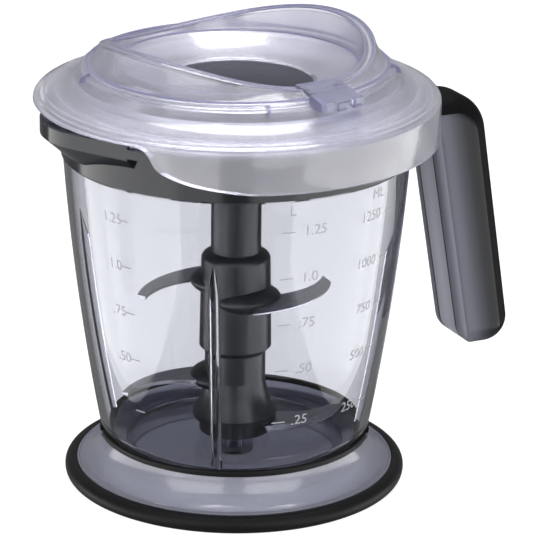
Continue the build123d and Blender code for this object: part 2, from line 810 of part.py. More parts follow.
with BuildPart() as blade_hub:
    with BuildSketch(Plane.XZ):
        with BuildLine():
            foot_side = Polyline(
                (0, hub_bottom_height),
                (hub_disc_radius, hub_bottom_height),
                (hub_disc_radius, hub_disc_top),
                (hub_flare_radius, hub_disc_top),
                (hub_flare_radius, hub_rim_top),
            )
            flare = ThreePointArc(
                foot_side @ 1,
                (hub_waist_radius + hub_flare_width * hub_flare_curve_share,
                 hub_rim_top + hub_flare_rise / 2),
                (hub_waist_radius, hub_rim_top + hub_flare_rise),
            )
            Polyline(
                flare @ 1,
                (hub_waist_radius, hub_collar_bottom_height - hub_collar_bottom_slope),
                (hub_collar_radius + hub_collar_taper, hub_collar_bottom_height),
                (hub_collar_radius, hub_collar_top_height),
            )
            shoulder_round = EllipticalCenterArc(
                (hub_tube_radius, hub_collar_top_height),
                hub_collar_radius - hub_tube_radius,
                hub_shoulder_rise,
            )
            Polyline(
                shoulder_round @ 1,
                (hub_tube_radius, hub_top_height),
                (0, hub_top_height),
                (0, hub_bottom_height),
            )
        make_face()
    revolve(axis=Axis.Z)
    # lobes that carry the blade roots
    for height, angle in (
        (upper_right_blade_height, blade_unit_angle),
        (upper_left_blade_height, blade_unit_angle + half_turn),
        (lower_left_blade_height, blade_unit_angle + half_turn),
    ):
        lobe_turn = radians(angle + lobe_angle)
        lobe_centre = (lobe_offset, height + blade_thickness / 2)
        with BuildSketch(radial_plane(angle + lobe_angle)):
            with BuildLine():
                upper = EllipticalCenterArc(lobe_centre, lobe_radius, lobe_half_height, start_angle=0)
                lower = EllipticalCenterArc(lobe_centre, lobe_radius, lobe_half_height, start_angle=270)
                Line(upper @ 1, lower @ 0)
            make_face()
        revolve(axis=Axis((lobe_offset * cos(lobe_turn), lobe_offset * sin(lobe_turn), 0), (0, 0, 1)))
    # slots for the blades
    for steel in blades:
        add(steel, mode=Mode.SUBTRACT)
    # bore over the pin, wider at the bottom for the bush
    with BuildSketch(Plane.XY.offset(hub_bottom_height)):
        Circle(pin_radius + hub_bore_clearance)
    extrude(amount=pin_height + hub_bore_top_margin - hub_bottom_height, mode=Mode.SUBTRACT)
    with BuildSketch(Plane.XY.offset(hub_bottom_height)):
        Circle(bush_radius)
    extrude(amount=bush_setback + bush_length, mode=Mode.SUBTRACT)
    # six-sided socket at the top
    with BuildSketch(Plane.XY.offset(hub_top_height)):
        RegularPolygon(dog_socket_width / 2, 6, major_radius=False)
    extrude(amount=-dog_socket_depth, mode=Mode.SUBTRACT)
finish(blade_hub.part, "blade_hub")

with BuildPart() as hub_bush:
    with BuildSketch(Plane.XY.offset(hub_bottom_height + bush_setback)):
        Circle(bush_radius)
        Circle(pin_radius + running_fit, mode=Mode.SUBTRACT)
    extrude(amount=bush_length)
finish(hub_bush.part, "hub_bush")


# Lid cover
skirt_bottom_height = jug_rim_height - skirt_bottom_drop
skirt_top_height = jug_rim_height + skirt_top_rise
roof_bead_radius = skirt_radius - roof_bead_inset
roof_edge_radius = skirt_radius - roof_edge_inset
roof_edge_height = skirt_top_height + roof_edge_rise
roof_ledge_radius = skirt_radius - roof_ledge_inset
roof_ledge_height = roof_edge_height + roof_ledge_rise
disc_height = jug_rim_height - disc_drop
gasket_height = jug_rim_height - gasket_drop
rest_rib_radius = collar_flange_radius - rest_rib_inset
plug_radius = neck_bore_radius - plug_gap
plug_inner_radius = plug_radius - plug_wall
ledge_inner_radius = roof_ledge_radius - roof_ledge_width
skirt_inner_radius = skirt_radius - skirt_wall
skirt_inner_top = skirt_top_height - roof_wall
bend_height = skirt_top_height - skirt_round
swell_radius = roof_ledge_radius + (roof_edge_radius - roof_ledge_radius) * swell_reach_share
swell_height = roof_edge_height + (roof_ledge_height - roof_edge_height) * swell_height_share
tube_radius = coupling_bore_radius + coupling_tube_wall
disc_top = disc_height + disc_thickness
rest_height = flange_top + lift_gap
gasket_inner_radius = plug_radius - gasket_depth
housing_flange_radius = tube_radius + housing_flange_width
screw_circle_radius = housing_flange_radius - disc_boss_radius
screw_spots = [360 / housing_screw_count * (i + 0.5) for i in range(housing_screw_count)]

# Cut-outs of the skirt, kept clear of the plug ring
with BuildPart() as skirt_cuts:
    # over the spout, an S-shaped edge on each side
    cut_top = spout_top + spout_cut_gap
    spout_cut_half_width = skirt_radius * spout_cut_half_share
    spout_cut_corner_half_width = skirt_radius * spout_cut_corner_share
    spout_cut_corner_height = skirt_bottom_height + spout_cut_corner_rise
    spout_cut_tail_half_width = skirt_radius * spout_cut_tail_share
    with BuildSketch(Plane.YZ):
        for side in (-1, 1):
            with BuildLine():
                s_edge = Spline(
                    (side * spout_cut_half_width, cut_top),
                    (side * (spout_cut_half_width + spout_cut_corner_half_width) / 2,
                     (cut_top + spout_cut_corner_height) / 2),
                    (side * spout_cut_corner_half_width, spout_cut_corner_height),
                    (side * spout_cut_tail_half_width, skirt_bottom_height + lift_gap),
                    tangents=((side, 0), (side, 0)),
                )
                Polyline(
                    s_edge @ 1,
                    (side * spout_cut_tail_half_width, skirt_bottom_height - overrun),
                    (0, skirt_bottom_height - overrun),
                    (0, cut_top),
                    s_edge @ 0,
                )
            make_face()
    extrude(amount=-skirt_radius - overrun)
    # over the handle
    notch_top = handle_top + handle_cut_gap
    handle_cut_half_width = handle_width / 2 + handle_cut_side_gap
    with BuildSketch(Plane.YZ):
        with BuildLine():
            notch = FilletPolyline(
                (-handle_cut_half_width - handle_cut_slope_width, skirt_bottom_height - overrun),
                (-handle_cut_half_width, notch_top),
                (handle_cut_half_width, notch_top),
                (handle_cut_half_width + handle_cut_slope_width, skirt_bottom_height - overrun),
                radius=handle_cut_slope_width / 2,
            )
            Line(notch @ 1, notch @ 0)
        make_face()
    extrude(amount=skirt_radius + overrun)
    with BuildSketch(Plane.XY.offset(skirt_bottom_height - 2 * overrun)):
        Circle(rest_rib_radius + lift_gap)
    extrude(amount=skirt_radius, mode=Mode.SUBTRACT)

with BuildPart() as lid_cover:
    with BuildSketch(Plane.XZ):
        with BuildLine():
            Line((skirt_radius, skirt_bottom_height), (skirt_radius, bend_height))
            CenterArc((skirt_radius - skirt_round, bend_height), skirt_round, 0, 90)
            bead = Polyline(
                (skirt_radius - skirt_round, skirt_top_height),
                (roof_bead_radius, skirt_top_height),
                (roof_bead_radius - roof_bead_height / 2, skirt_top_height + roof_bead_height),
                (roof_edge_radius, roof_edge_height),
            )
            rise = ThreePointArc(
                bead @ 1,
                (swell_radius, swell_height),
                (roof_ledge_radius, roof_ledge_height),
            )
            ledge = Polyline(
                rise @ 1,
                (ledge_inner_radius, roof_ledge_height),
                (ledge_inner_radius, roof_ledge_height - roof_wall),
                (roof_ledge_radius - roof_wall / 2, roof_ledge_height - roof_wall),
            )
            under = ThreePointArc(
                ledge @ 1,
                (swell_radius - roof_wall / 2, swell_height - roof_wall),
                (roof_edge_radius, roof_edge_height - roof_wall),
            )
            Polyline(
                under @ 1,
                (roof_bead_radius, skirt_inner_top),
                (skirt_inner_radius, skirt_inner_top),
                (skirt_inner_radius, skirt_bottom_height),
                (skirt_radius, skirt_bottom_height),
            )
        make_face()
        # plug ring that enters the jug's neck, with the gasket's groove
        with BuildLine():
            Polyline(
                (plug_inner_radius, disc_height),
                (plug_radius, disc_height),
                (plug_radius, gasket_height),
                (gasket_inner_radius, gasket_height),
                (gasket_inner_radius, gasket_height + gasket_thickness),
                (plug_radius, gasket_height + gasket_thickness),
                (plug_radius, roof_edge_height + roof_wall),
                (plug_inner_radius, roof_edge_height + roof_wall),
                (plug_inner_radius, disc_height),
            )
        make_face()
        # closing disc
        with BuildLine():
            Polyline(
                (tube_radius, disc_height),
                (plug_inner_radius, disc_height),
                (plug_inner_radius, disc_top),
                (tube_radius, disc_top),
                (tube_radius, disc_height),
            )
        make_face()
        # rib that rests over the collar's flange
        with BuildLine():
            Polyline(
                (rest_rib_radius - rest_rib_wall, rest_height),
                (rest_rib_radius, rest_height),
                (rest_rib_radius, roof_edge_height - roof_wall / 2),
                (rest_rib_radius - rest_rib_wall, roof_edge_height - roof_wall / 2),
                (rest_rib_radius - rest_rib_wall, rest_height),
            )
        make_face()
    revolve(axis=Axis.Z)
    # bosses for the gear housing's screws
    with BuildSketch(Plane.XY.offset(disc_top)):
        with PolarLocations(screw_circle_radius, housing_screw_count, start_angle=screw_spots[0]):
            Circle(disc_boss_radius)
    extrude(amount=disc_boss_height)
    with BuildSketch(Plane.XY.offset(disc_height)):
        with PolarLocations(screw_circle_radius, housing_screw_count, start_angle=screw_spots[0]):
            Circle(housing_screw_radius)
    extrude(amount=housing_screw_length - housing_flange_thickness, mode=Mode.SUBTRACT)
    add(skirt_cuts.part, mode=Mode.SUBTRACT)
finish(lid_cover.part, "lid_cover")

with BuildPart() as lid_gasket:
    with BuildSketch(Plane.XZ):
        with BuildLine():
            flat_side = Polyline(
                (plug_radius, gasket_height),
                (gasket_inner_radius, gasket_height),
                (gasket_inner_radius, gasket_height + gasket_thickness),
                (plug_radius, gasket_height + gasket_thickness),
            )
            ThreePointArc(
                flat_side @ 1,
                (plug_radius + gasket_proud, gasket_height + gasket_thickness / 2),
                flat_side @ 0,
            )
        make_face()
    revolve(axis=Axis.Z)
finish(lid_gasket.part, "lid_gasket")


crater_foot_radius = roof_ledge_radius - crater_foot_inset
crater_rim_radius = crater_foot_radius - crater_lean
crater_rim_mean_height = roof_ledge_height + crater_rim_mean_rise
saddle_reach = crater_rim_radius + saddle_margin


def saddle_height(x, y, centre_height):
    # height of the rim's wavy surface, high towards the spout and handle and low between them
    turn = radians(crater_peak_angle)
    along = x * cos(turn) + y * sin(turn)
    across = y * cos(turn) - x * sin(turn)
    swing = crater_rim_swing / (crater_rim_radius * crater_rim_radius)
    return centre_height + swing * (along * along - across * across)


def above_saddle(centre_height):
    # everything above the wavy surface
    steps = [saddle_reach * (2 * i / (saddle_rows - 1) - 1) for i in range(saddle_rows)]
    grid = [[Vector(x, y, saddle_height(x, y, centre_height)) for y in steps] for x in steps]
    surface = Face.make_surface_from_array_of_points(grid)
    return Solid.extrude(surface, Vector(0, 0, saddle_reach))


# Coupling collar: crater wall outside, stepped bowl inside, tube down to the gear housing.
# It is turned hollow, then trimmed to the saddle, with the hollow trimmed one wall lower.
crater_top = crater_rim_mean_height + crater_rim_swing + crater_wall
foot_top = roof_ledge_height + crater_foot_height
bowl_rim_radius = crater_rim_radius - crater_rim_width
bowl_wall_foot_radius = crater_rim_radius - bowl_wall_inset
bowl_wall_foot_height = roof_ledge_height + bowl_wall_foot_rise
bowl_step_radius = coupling_bore_radius + (bowl_wall_foot_radius - coupling_bore_radius) * bowl_step_share
bowl_step_height = roof_ledge_height - bowl_step_drop
bowl_hole_height = roof_ledge_height - bowl_hole_drop
hole_radius = coupling_bore_radius + bowl_hole_round
coupling_bottom = disc_height + drive_coupling_gap
coupling_top = coupling_bottom + drive_coupling_length
coupling_seat_height = coupling_top + coupling_seat_gap

with BuildPart() as crater_solid:
    with BuildSketch(Plane.XZ):
        with BuildLine():
            wall_side = Polyline(
                (crater_foot_radius, roof_ledge_height),
                (crater_foot_radius, foot_top),
                (crater_foot_radius - crater_foot_height, foot_top + crater_foot_height / 2),
                (crater_rim_radius, crater_rim_mean_height),
                (crater_rim_radius - crater_foot_height, crater_top),
                (bowl_rim_radius + crater_foot_height / 2, crater_top),
                (bowl_wall_foot_radius, bowl_wall_foot_height),
                (bowl_step_radius, bowl_step_height),
                (hole_radius, bowl_hole_height),
            )
            hole_edge = ThreePointArc(
                wall_side @ 1,
                (coupling_bore_radius + bowl_hole_round * (1 - sin(pi / 4)),
                 bowl_hole_height - bowl_hole_round * (1 - cos(pi / 4))),
                (coupling_bore_radius, bowl_hole_height - bowl_hole_round),
            )
            Polyline(
                hole_edge @ 1,
                (coupling_bore_radius, coupling_seat_height),
                (coupling_bore_radius - coupling_seat_width, coupling_seat_height),
                (coupling_bore_radius - coupling_seat_width, disc_height),
                (tube_radius, disc_height),
                (tube_radius, bowl_hole_height - crater_wall),
                (bowl_step_radius, bowl_step_height - crater_wall),
                (ledge_inner_radius, bowl_step_height - crater_wall),
                (ledge_inner_radius, roof_ledge_height),
                (crater_foot_radius, roof_ledge_height),
            )
        make_face()
    revolve(axis=Axis.Z)

with BuildPart() as crater_hollow:
    with BuildSketch(Plane.XZ):
        with BuildLine():
            Polyline(
                (ledge_inner_radius - crater_wall, roof_ledge_height - roof_wall - overrun),
                (ledge_inner_radius - crater_wall, foot_top - crater_foot_height),
                (crater_rim_radius - crater_wall, crater_rim_mean_height - crater_wall),
                (crater_rim_radius - crater_wall, crater_top),
                (bowl_wall_foot_radius + crater_wall, crater_top),
                (bowl_wall_foot_radius + crater_wall, bowl_wall_foot_height - crater_wall),
                (bowl_step_radius + crater_wall, bowl_step_height - crater_wall),
                (bowl_step_radius + crater_wall, roof_ledge_height - roof_wall - overrun),
                (ledge_inner_radius - crater_wall, roof_ledge_height - roof_wall - overrun),
            )
        make_face()
    revolve(axis=Axis.Z)
    add(above_saddle(crater_rim_mean_height - crater_wall), mode=Mode.SUBTRACT)

# pocket for the release lever, and the ears that hold its pin
lever_turn = radians(lever_angle)
lever_inner_radius = bowl_wall_foot_radius
lever_front_radius = crater_foot_radius + lever_front_reach
lever_pin_reach = crater_foot_radius - lever_pin_inset
lever_pin_height = roof_ledge_height - lever_pin_drop
lever_across = Plane(
    origin=(lever_pin_reach * cos(lever_turn), lever_pin_reach * sin(lever_turn), lever_pin_height),
    x_dir=(cos(lever_turn), sin(lever_turn), 0),
    z_dir=(sin(lever_turn), -cos(lever_turn), 0),
)
pocket_inner_radius = lever_inner_radius - lever_swing_gap
pocket_half_width = lever_width / 2 + lever_side_gap
ear_half_width = pocket_half_width + lever_pin_bite

with BuildPart() as lever_pocket:
    with BuildSketch(radial_plane(lever_angle)):
        with BuildLine():
            Polyline(
                (pocket_inner_radius, lever_pin_height),
                (lever_front_radius, lever_pin_height),
                (lever_front_radius, crater_top + overrun),
                (pocket_inner_radius, crater_top + overrun),
                (pocket_inner_radius, lever_pin_height),
            )
        make_face()
    extrude(amount=pocket_half_width, both=True)

with BuildPart() as lever_ears:
    with BuildSketch(lever_across):
        Circle(lever_lug_radius + lever_side_gap)
    extrude(amount=ear_half_width, both=True)
    with BuildSketch(lever_across):
        Circle(lever_lug_radius + lever_side_gap)
    extrude(amount=pocket_half_width, both=True, mode=Mode.SUBTRACT)

with BuildPart() as coupling_collar:
    add(crater_solid.part)
    add(crater_hollow.part, mode=Mode.SUBTRACT)
    add(above_saddle(crater_rim_mean_height), mode=Mode.SUBTRACT)
    add(lever_pocket.part, mode=Mode.SUBTRACT)
    add(lever_ears.part)
    with BuildSketch(lever_across):
        Circle(lever_pin_radius)
    extrude(amount=ear_half_width, both=True, mode=Mode.SUBTRACT)
finish(coupling_collar.part, "coupling_collar")

# Release lever: lugs on the pin, a pad that continues the rim, two legs down to the roof
lever_foot_height = roof_ledge_height - lever_foot_drop
pad_top = crater_top + overrun
pad_bottom = crater_rim_mean_height - crater_rim_swing - lever_pad_thickness

with BuildPart() as release_lever:
    with BuildSketch(lever_across):
        with Locations((0, (pad_bottom + crater_foot_height - lever_pin_height) / 2)):
            Rectangle(2 * lever_lug_radius, pad_bottom + crater_foot_height - lever_pin_height)
        Circle(lever_lug_radius)
    extrude(amount=lever_width / 2, both=True)
    with BuildSketch(lever_across):
        Rectangle(2 * lever_lug_radius + overrun, 2 * lever_lug_radius + overrun)
    extrude(amount=lever_width / 2 - lever_lug_width, both=True, mode=Mode.SUBTRACT)
    with BuildSketch(radial_plane(lever_angle)):
        with BuildLine():
            Polyline(
                (lever_inner_radius, pad_bottom + crater_foot_height),
                (crater_rim_radius, pad_bottom),
                (lever_front_radius, pad_bottom),
                (lever_front_radius, pad_top),
                (lever_inner_radius, pad_top),
                (lever_inner_radius, pad_bottom + crater_foot_height),
            )
        make_face()
        leg_height = pad_bottom + crater_foot_height - lever_foot_height
        with Locations((lever_front_radius - lever_leg_thickness / 2, lever_foot_height + leg_height / 2)):
            Rectangle(lever_leg_thickness, leg_height)
    extrude(amount=lever_width / 2, both=True)
    with BuildSketch(radial_plane(lever_angle)):
        with Locations((lever_front_radius, (lever_foot_height - overrun + pad_bottom) / 2)):
            Rectangle(2 * lever_leg_thickness + overrun, pad_bottom - lever_foot_height + overrun)
    extrude(amount=lever_width / 2 - lever_leg_width, both=True, mode=Mode.SUBTRACT)
    add(above_saddle(crater_rim_mean_height), mode=Mode.SUBTRACT)
    with BuildSketch(lever_across):
        Circle(lever_pin_radius + running_fit)
    extrude(amount=lever_width, both=True, mode=Mode.SUBTRACT)
finish(release_lever.part, "release_lever")

with BuildPart() as lever_pin:
    with BuildSketch(lever_across):
        Circle(lever_pin_radius)
    extrude(amount=ear_half_width, both=True)
finish(lever_pin.part, "lever_pin")


# Reduction gear. The heights run down from the disc.
gear_cover_top = disc_height
gear_cover_bottom = gear_cover_top - gear_cover_thickness
gear_top = gear_cover_bottom - gear_side_gap
gear_bottom = gear_top - gear_width
carrier_top = gear_bottom - gear_side_gap
carrier_bottom = carrier_top - carrier_thickness
housing_floor_top = carrier_bottom - gear_side_gap
housing_bottom = housing_floor_top - housing_floor
sun_pitch = gear_module * sun_teeth / 2
planet_pitch = gear_module * planet_teeth / 2
ring_pitch = gear_module * ring_teeth / 2
planet_reach = sun_pitch + planet_pitch
addendum = gear_module * gear_addendum_share
dedendum = gear_module * gear_dedendum_share
ring_gear_radius = ring_pitch + dedendum + ring_gear_rim
housing_radius = ring_gear_radius + housing_wall
gear_cover_radius = ring_gear_radius + gear_cover_step
flank_steps = 3


def tooth_outline(teeth, inner, outer, slack):
    # points round a gear of involute teeth, one tooth on +X; slack widens it, or narrows it below zero
    pitch = gear_module * teeth / 2
    base = pitch * cos(radians(gear_pressure_angle))
    roll = tan(radians(gear_pressure_angle)) - radians(gear_pressure_angle)
    start = max(base, inner)
    flank = []
    for k in range(flank_steps + 1):
        r = start + (outer - start) * k / flank_steps
        lean = acos(base / r)
        flank.append((r, pi / (2 * teeth) + slack / (4 * pitch) + roll - tan(lean) + lean))
    if inner < base:
        flank.insert(0, (inner, flank[0][1]))
    points = []
    for tooth in range(teeth):
        middle = 2 * pi * tooth / teeth
        points += [(r * cos(middle - half), r * sin(middle - half)) for r, half in flank]
        points += [(r * cos(middle + half), r * sin(middle + half)) for r, half in reversed(flank)]
    return points + points[:1]


with BuildPart() as ring_gear:
    with BuildSketch(Plane.XY.offset(gear_bottom)):
        Circle(ring_gear_radius)
        with BuildLine():
            Polyline(*tooth_outline(ring_teeth, ring_pitch - addendum, ring_pitch + dedendum, gear_backlash))
        make_face(mode=Mode.SUBTRACT)
    extrude(amount=gear_cover_bottom - gear_bottom)
finish(ring_gear.part, "ring_gear")

sun_shaft_top = coupling_top - drive_coupling_slot_depth

with BuildPart() as sun_gear:
    with BuildSketch(Plane.XY.offset(gear_bottom)):
        with BuildLine():
            Polyline(*tooth_outline(sun_teeth, sun_pitch - dedendum, sun_pitch + addendum, -gear_backlash))
        make_face()
    extrude(amount=gear_width)
    with BuildSketch(Plane.XY.offset(gear_top)):
        Circle(sun_shaft_radius)
    extrude(amount=sun_shaft_top - gear_top)
finish(sun_gear.part, "sun_gear")

planet_teeth_points = tooth_outline(
    planet_teeth, planet_pitch - dedendum, planet_pitch + addendum, -gear_backlash
)

for n in range(planet_count):
    turn = 360 / planet_count * n
    spot = Plane(
        origin=(planet_reach * cos(radians(turn)), planet_reach * sin(radians(turn)), gear_bottom),
        x_dir=(cos(radians(turn)), sin(radians(turn)), 0),
        z_dir=(0, 0, 1),
    )
    with BuildPart() as planet_gear:
        with BuildSketch(spot):
            with BuildLine():
                Polyline(*planet_teeth_points)
            make_face()
            Circle(planet_pin_radius + running_fit, mode=Mode.SUBTRACT)
        extrude(amount=gear_width)
    finish(planet_gear.part, "planet_gear_" + str(n + 1))

with BuildPart() as planet_pins:
    with BuildSketch(Plane.XY.offset(carrier_bottom)):
        with PolarLocations(planet_reach, planet_count):
            Circle(planet_pin_radius)
    extrude(amount=gear_top - carrier_bottom)
finish(planet_pins.part, "planet_pins")

dog_width = dog_socket_width - 2 * dog_clearance

with BuildPart() as planet_carrier:
    with BuildSketch(Plane.XY.offset(carrier_bottom)):
        Circle(planet_reach + carrier_rim_margin)
        with PolarLocations(planet_reach, planet_count):
            Circle(planet_pin_radius, mode=Mode.SUBTRACT)
    extrude(amount=carrier_thickness)
    with BuildSketch(Plane.XY.offset(housing_bottom - carrier_gap)):
        Circle(carrier_hub_radius)
    extrude(amount=carrier_bottom - housing_bottom + carrier_gap)
    with BuildSketch(Plane.XY.offset(hub_top_height - dog_engagement)):
        RegularPolygon(dog_width / 2, 6, major_radius=False)
    extrude(amount=housing_bottom - carrier_gap - hub_top_height + dog_engagement)
finish(planet_carrier.part, "planet_carrier")

carrier_bush_radius = carrier_hub_radius + running_fit + bush_wall

with BuildPart() as carrier_bush:
    with BuildSketch(Plane.XY.offset(housing_bottom)):
        Circle(carrier_bush_radius)
        Circle(carrier_hub_radius + running_fit, mode=Mode.SUBTRACT)
    extrude(amount=housing_floor)
finish(carrier_bush.part, "carrier_bush")

with BuildPart() as gear_housing:
    with BuildSketch(Plane.XZ):
        with BuildLine():
            Polyline(
                (carrier_bush_radius, housing_bottom),
                (housing_radius, housing_bottom),
                (housing_radius, gear_cover_top - housing_flange_thickness),
                (housing_flange_radius, gear_cover_top - housing_flange_thickness),
                (housing_flange_radius, gear_cover_top),
                (gear_cover_radius, gear_cover_top),
                (gear_cover_radius, gear_cover_bottom),
                (ring_gear_radius, gear_cover_bottom),
                (ring_gear_radius, gear_bottom),
                (ring_gear_radius - housing_wall, gear_bottom),
                (ring_gear_radius - housing_wall, housing_floor_top),
                (carrier_bush_radius, housing_floor_top),
                (carrier_bush_radius, housing_bottom),
            )
        make_face()
    revolve(axis=Axis.Z)
    with BuildSketch(Plane.XY.offset(gear_cover_top)):
        with PolarLocations(screw_circle_radius, housing_screw_count, start_angle=screw_spots[0]):
            Circle(housing_screw_radius)
    extrude(amount=-housing_flange_thickness, mode=Mode.SUBTRACT)
finish(gear_housing.part, "gear_housing")

sun_bush_radius = sun_shaft_radius + running_fit + bush_wall

with BuildPart() as gear_cover:
    with BuildSketch(Plane.XY.offset(gear_cover_bottom)):
        Circle(gear_cover_radius)
        Circle(sun_bush_radius, mode=Mode.SUBTRACT)
    extrude(amount=gear_cover_thickness)
finish(gear_cover.part, "gear_cover")

with BuildPart() as sun_bush:
    with BuildSketch(Plane.XY.offset(gear_cover_bottom)):
        Circle(sun_bush_radius)
        Circle(sun_shaft_radius + running_fit, mode=Mode.SUBTRACT)
    extrude(amount=gear_cover_thickness)
finish(sun_bush.part, "sun_bush")

with BuildPart() as drive_coupling:
    with BuildSketch(Plane.XY.offset(coupling_bottom)):
        Circle(drive_coupling_radius)
        Circle(sun_shaft_radius, mode=Mode.SUBTRACT)
    extrude(amount=sun_shaft_top - coupling_bottom)
    with BuildSketch(Plane.XY.offset(sun_shaft_top)):
        Circle(drive_coupling_radius)
        Rectangle(2 * drive_coupling_radius, drive_coupling_slot_width, mode=Mode.SUBTRACT)
        Rectangle(drive_coupling_slot_width, 2 * drive_coupling_radius, mode=Mode.SUBTRACT)
    extrude(amount=drive_coupling_slot_depth)
finish(drive_coupling.part, "drive_coupling")

screw_bottom = gear_cover_top - housing_flange_thickness

with BuildPart() as housing_screws:
    with BuildSketch(Plane.XY.offset(screw_bottom)):
        with PolarLocations(screw_circle_radius, housing_screw_count, start_angle=screw_spots[0]):
            Circle(housing_screw_radius)
    extrude(amount=housing_screw_length)
    with BuildSketch(Plane.XY.offset(screw_bottom)):
        with PolarLocations(screw_circle_radius, housing_screw_count, start_angle=screw_spots[0]):
            Circle(housing_screw_head_radius)
    extrude(amount=-housing_screw_head_height)
finish(housing_screws.part, "housing_screws")
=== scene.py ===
from math import acos, atan2, cos, hypot, pi, radians, sin, tan

import bmesh
import bpy
from mathutils import Matrix, Vector


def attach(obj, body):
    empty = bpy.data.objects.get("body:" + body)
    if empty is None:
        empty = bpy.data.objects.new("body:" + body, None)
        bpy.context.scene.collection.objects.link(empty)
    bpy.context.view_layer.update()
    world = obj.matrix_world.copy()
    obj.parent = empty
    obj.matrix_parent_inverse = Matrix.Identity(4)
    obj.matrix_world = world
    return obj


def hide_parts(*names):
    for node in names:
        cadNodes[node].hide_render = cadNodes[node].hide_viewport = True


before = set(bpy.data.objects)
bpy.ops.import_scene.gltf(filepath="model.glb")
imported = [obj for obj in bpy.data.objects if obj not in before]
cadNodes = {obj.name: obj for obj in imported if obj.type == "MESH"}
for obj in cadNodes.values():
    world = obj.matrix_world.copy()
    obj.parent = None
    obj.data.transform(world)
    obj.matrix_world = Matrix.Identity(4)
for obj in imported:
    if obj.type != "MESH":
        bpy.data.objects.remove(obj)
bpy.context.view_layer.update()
mm = 0.001
scene = bpy.context.scene


def toLinear(hexColour):
    digits = hexColour.lstrip("#")
    parts = [int(digits[i:i + 2], 16) / 255 for i in (0, 2, 4)]
    return [c / 12.92 if c <= 0.04045 else ((c + 0.055) / 1.055) ** 2.4 for c in parts] + [1.0]


def addNode(tree, kind, inputs=None, **settings):
    # one node with its settings, its values and its links
    node = tree.nodes.new(kind)
    for key, value in settings.items():
        setattr(node, key, value)
    for key, value in (inputs or {}).items():
        if isinstance(value, bpy.types.NodeSocket):
            tree.links.new(value, node.inputs[key])
        else:
            node.inputs[key].default_value = value
    return node


def startMaterial(name, hexColour, **surface):
    # a material with one principled shader; the keys of surface are socket names with _ for a space
    material = bpy.data.materials.new(name)
    material.use_nodes = True
    tree = material.node_tree
    tree.nodes.clear()
    inputs = {key.replace("_", " "): value for key, value in surface.items()}
    shader = addNode(tree, "ShaderNodeBsdfPrincipled", {"Base Color": toLinear(hexColour), **inputs})
    addNode(tree, "ShaderNodeOutputMaterial", {"Surface": shader.outputs["BSDF"]})
    return material, tree, shader


def findOutput(tree):
    return next(node for node in tree.nodes if node.type == "OUTPUT_MATERIAL")


def tintThickness(tree, hexTint, perMetre):
    # the plastic's own colour grows with its thickness, so edges and folds turn darker than walls
    depth = addNode(tree, "ShaderNodeVolumeAbsorption", {"Color": toLinear(hexTint), "Density": perMetre})
    tree.links.new(depth.outputs["Volume"], findOutput(tree).inputs["Volume"])


def letLightThrough(tree, shader, hexTint):
    # lamps shine through clear plastic instead of leaving a black shadow
    path = addNode(tree, "ShaderNodeLightPath")
    clear = addNode(tree, "ShaderNodeBsdfTransparent", {"Color": toLinear(hexTint)})
    mix = addNode(tree, "ShaderNodeMixShader", {
        "Fac": path.outputs["Is Shadow Ray"], 1: shader.outputs["BSDF"], 2: clear.outputs["BSDF"]})
    tree.links.new(mix.outputs["Shader"], findOutput(tree).inputs["Surface"])


def addGrain(tree, shader, grainMm, depthMm, detail=2.0, stretch=(1, 1, 1)):
    # a bump of the given grain width and depth, on Object coordinates in metres
    place = addNode(tree, "ShaderNodeTexCoord")
    turned = addNode(tree, "ShaderNodeMapping", {"Vector": place.outputs["Object"], "Scale": stretch})
    noise = addNode(tree, "ShaderNodeTexNoise", {
        "Vector": turned.outputs["Vector"], "Scale": 1 / (grainMm * mm), "Detail": detail})
    bump = addNode(tree, "ShaderNodeBump", {
        "Height": noise.outputs["Fac"], "Distance": depthMm * mm, "Strength": 1.0})
    tree.links.new(bump.outputs["Normal"], shader.inputs["Normal"])
    return noise


def varyColour(tree, shader, noise, hexLow, hexHigh):
    # the base colour drifts between two values with the noise
    ramp = addNode(tree, "ShaderNodeValToRGB", {"Fac": noise.outputs["Fac"]})
    ramp.color_ramp.elements[0].position = 0.35
    ramp.color_ramp.elements[0].color = toLinear(hexLow)
    ramp.color_ramp.elements[1].position = 0.65
    ramp.color_ramp.elements[1].color = toLinear(hexHigh)
    tree.links.new(ramp.outputs["Color"], shader.inputs["Base Color"])


# clear styrene acrylonitrile, moulded and polished: sharp but quiet reflections, greyer edges
clearSan, tree, shader = startMaterial(
    "clearSan", "#e9eaee", Roughness=0.02, IOR=1.28, Transmission_Weight=1.0)
addGrain(tree, shader, 30, 0.002)
letLightThrough(tree, shader, "#e0e1e6")
tintThickness(tree, "#b2b2ba", 88.0)

# smoke-tinted styrene acrylonitrile of the base: the same gloss, lilac grey in the mass, near black on edge
smokeSan, tree, shader = startMaterial(
    "smokeSan", "#bfc0cd", Roughness=0.18, IOR=1.5, Transmission_Weight=0.7)
addGrain(tree, shader, 24, 0.015)
letLightThrough(tree, shader, "#8f909d")
tintThickness(tree, "#50515e", 40.0)

# dark smoke styrene acrylonitrile of the collar: nearly opaque, glossy
darkSmokeSan, tree, shader = startMaterial(
    "darkSmokeSan", "#16181c", Roughness=0.16, IOR=1.36, Transmission_Weight=0.2)
addGrain(tree, shader, 20, 0.015)

# frosted polypropylene of the lid: satin skin, light scatters inside the wall, lilac only where it is thick
frostedPp, tree, shader = startMaterial(
    "frostedPp", "#e4e4ea", Roughness=0.2, IOR=1.38, Transmission_Weight=0.9,
    Coat_Weight=0.3, Coat_Roughness=0.1)
noise = addGrain(tree, shader, 12, 0.002)
varyColour(tree, shader, noise, "#e2e2e8", "#e7e7ec")
letLightThrough(tree, shader, "#dcdce4")
tintThickness(tree, "#8d8db4", 26.0)

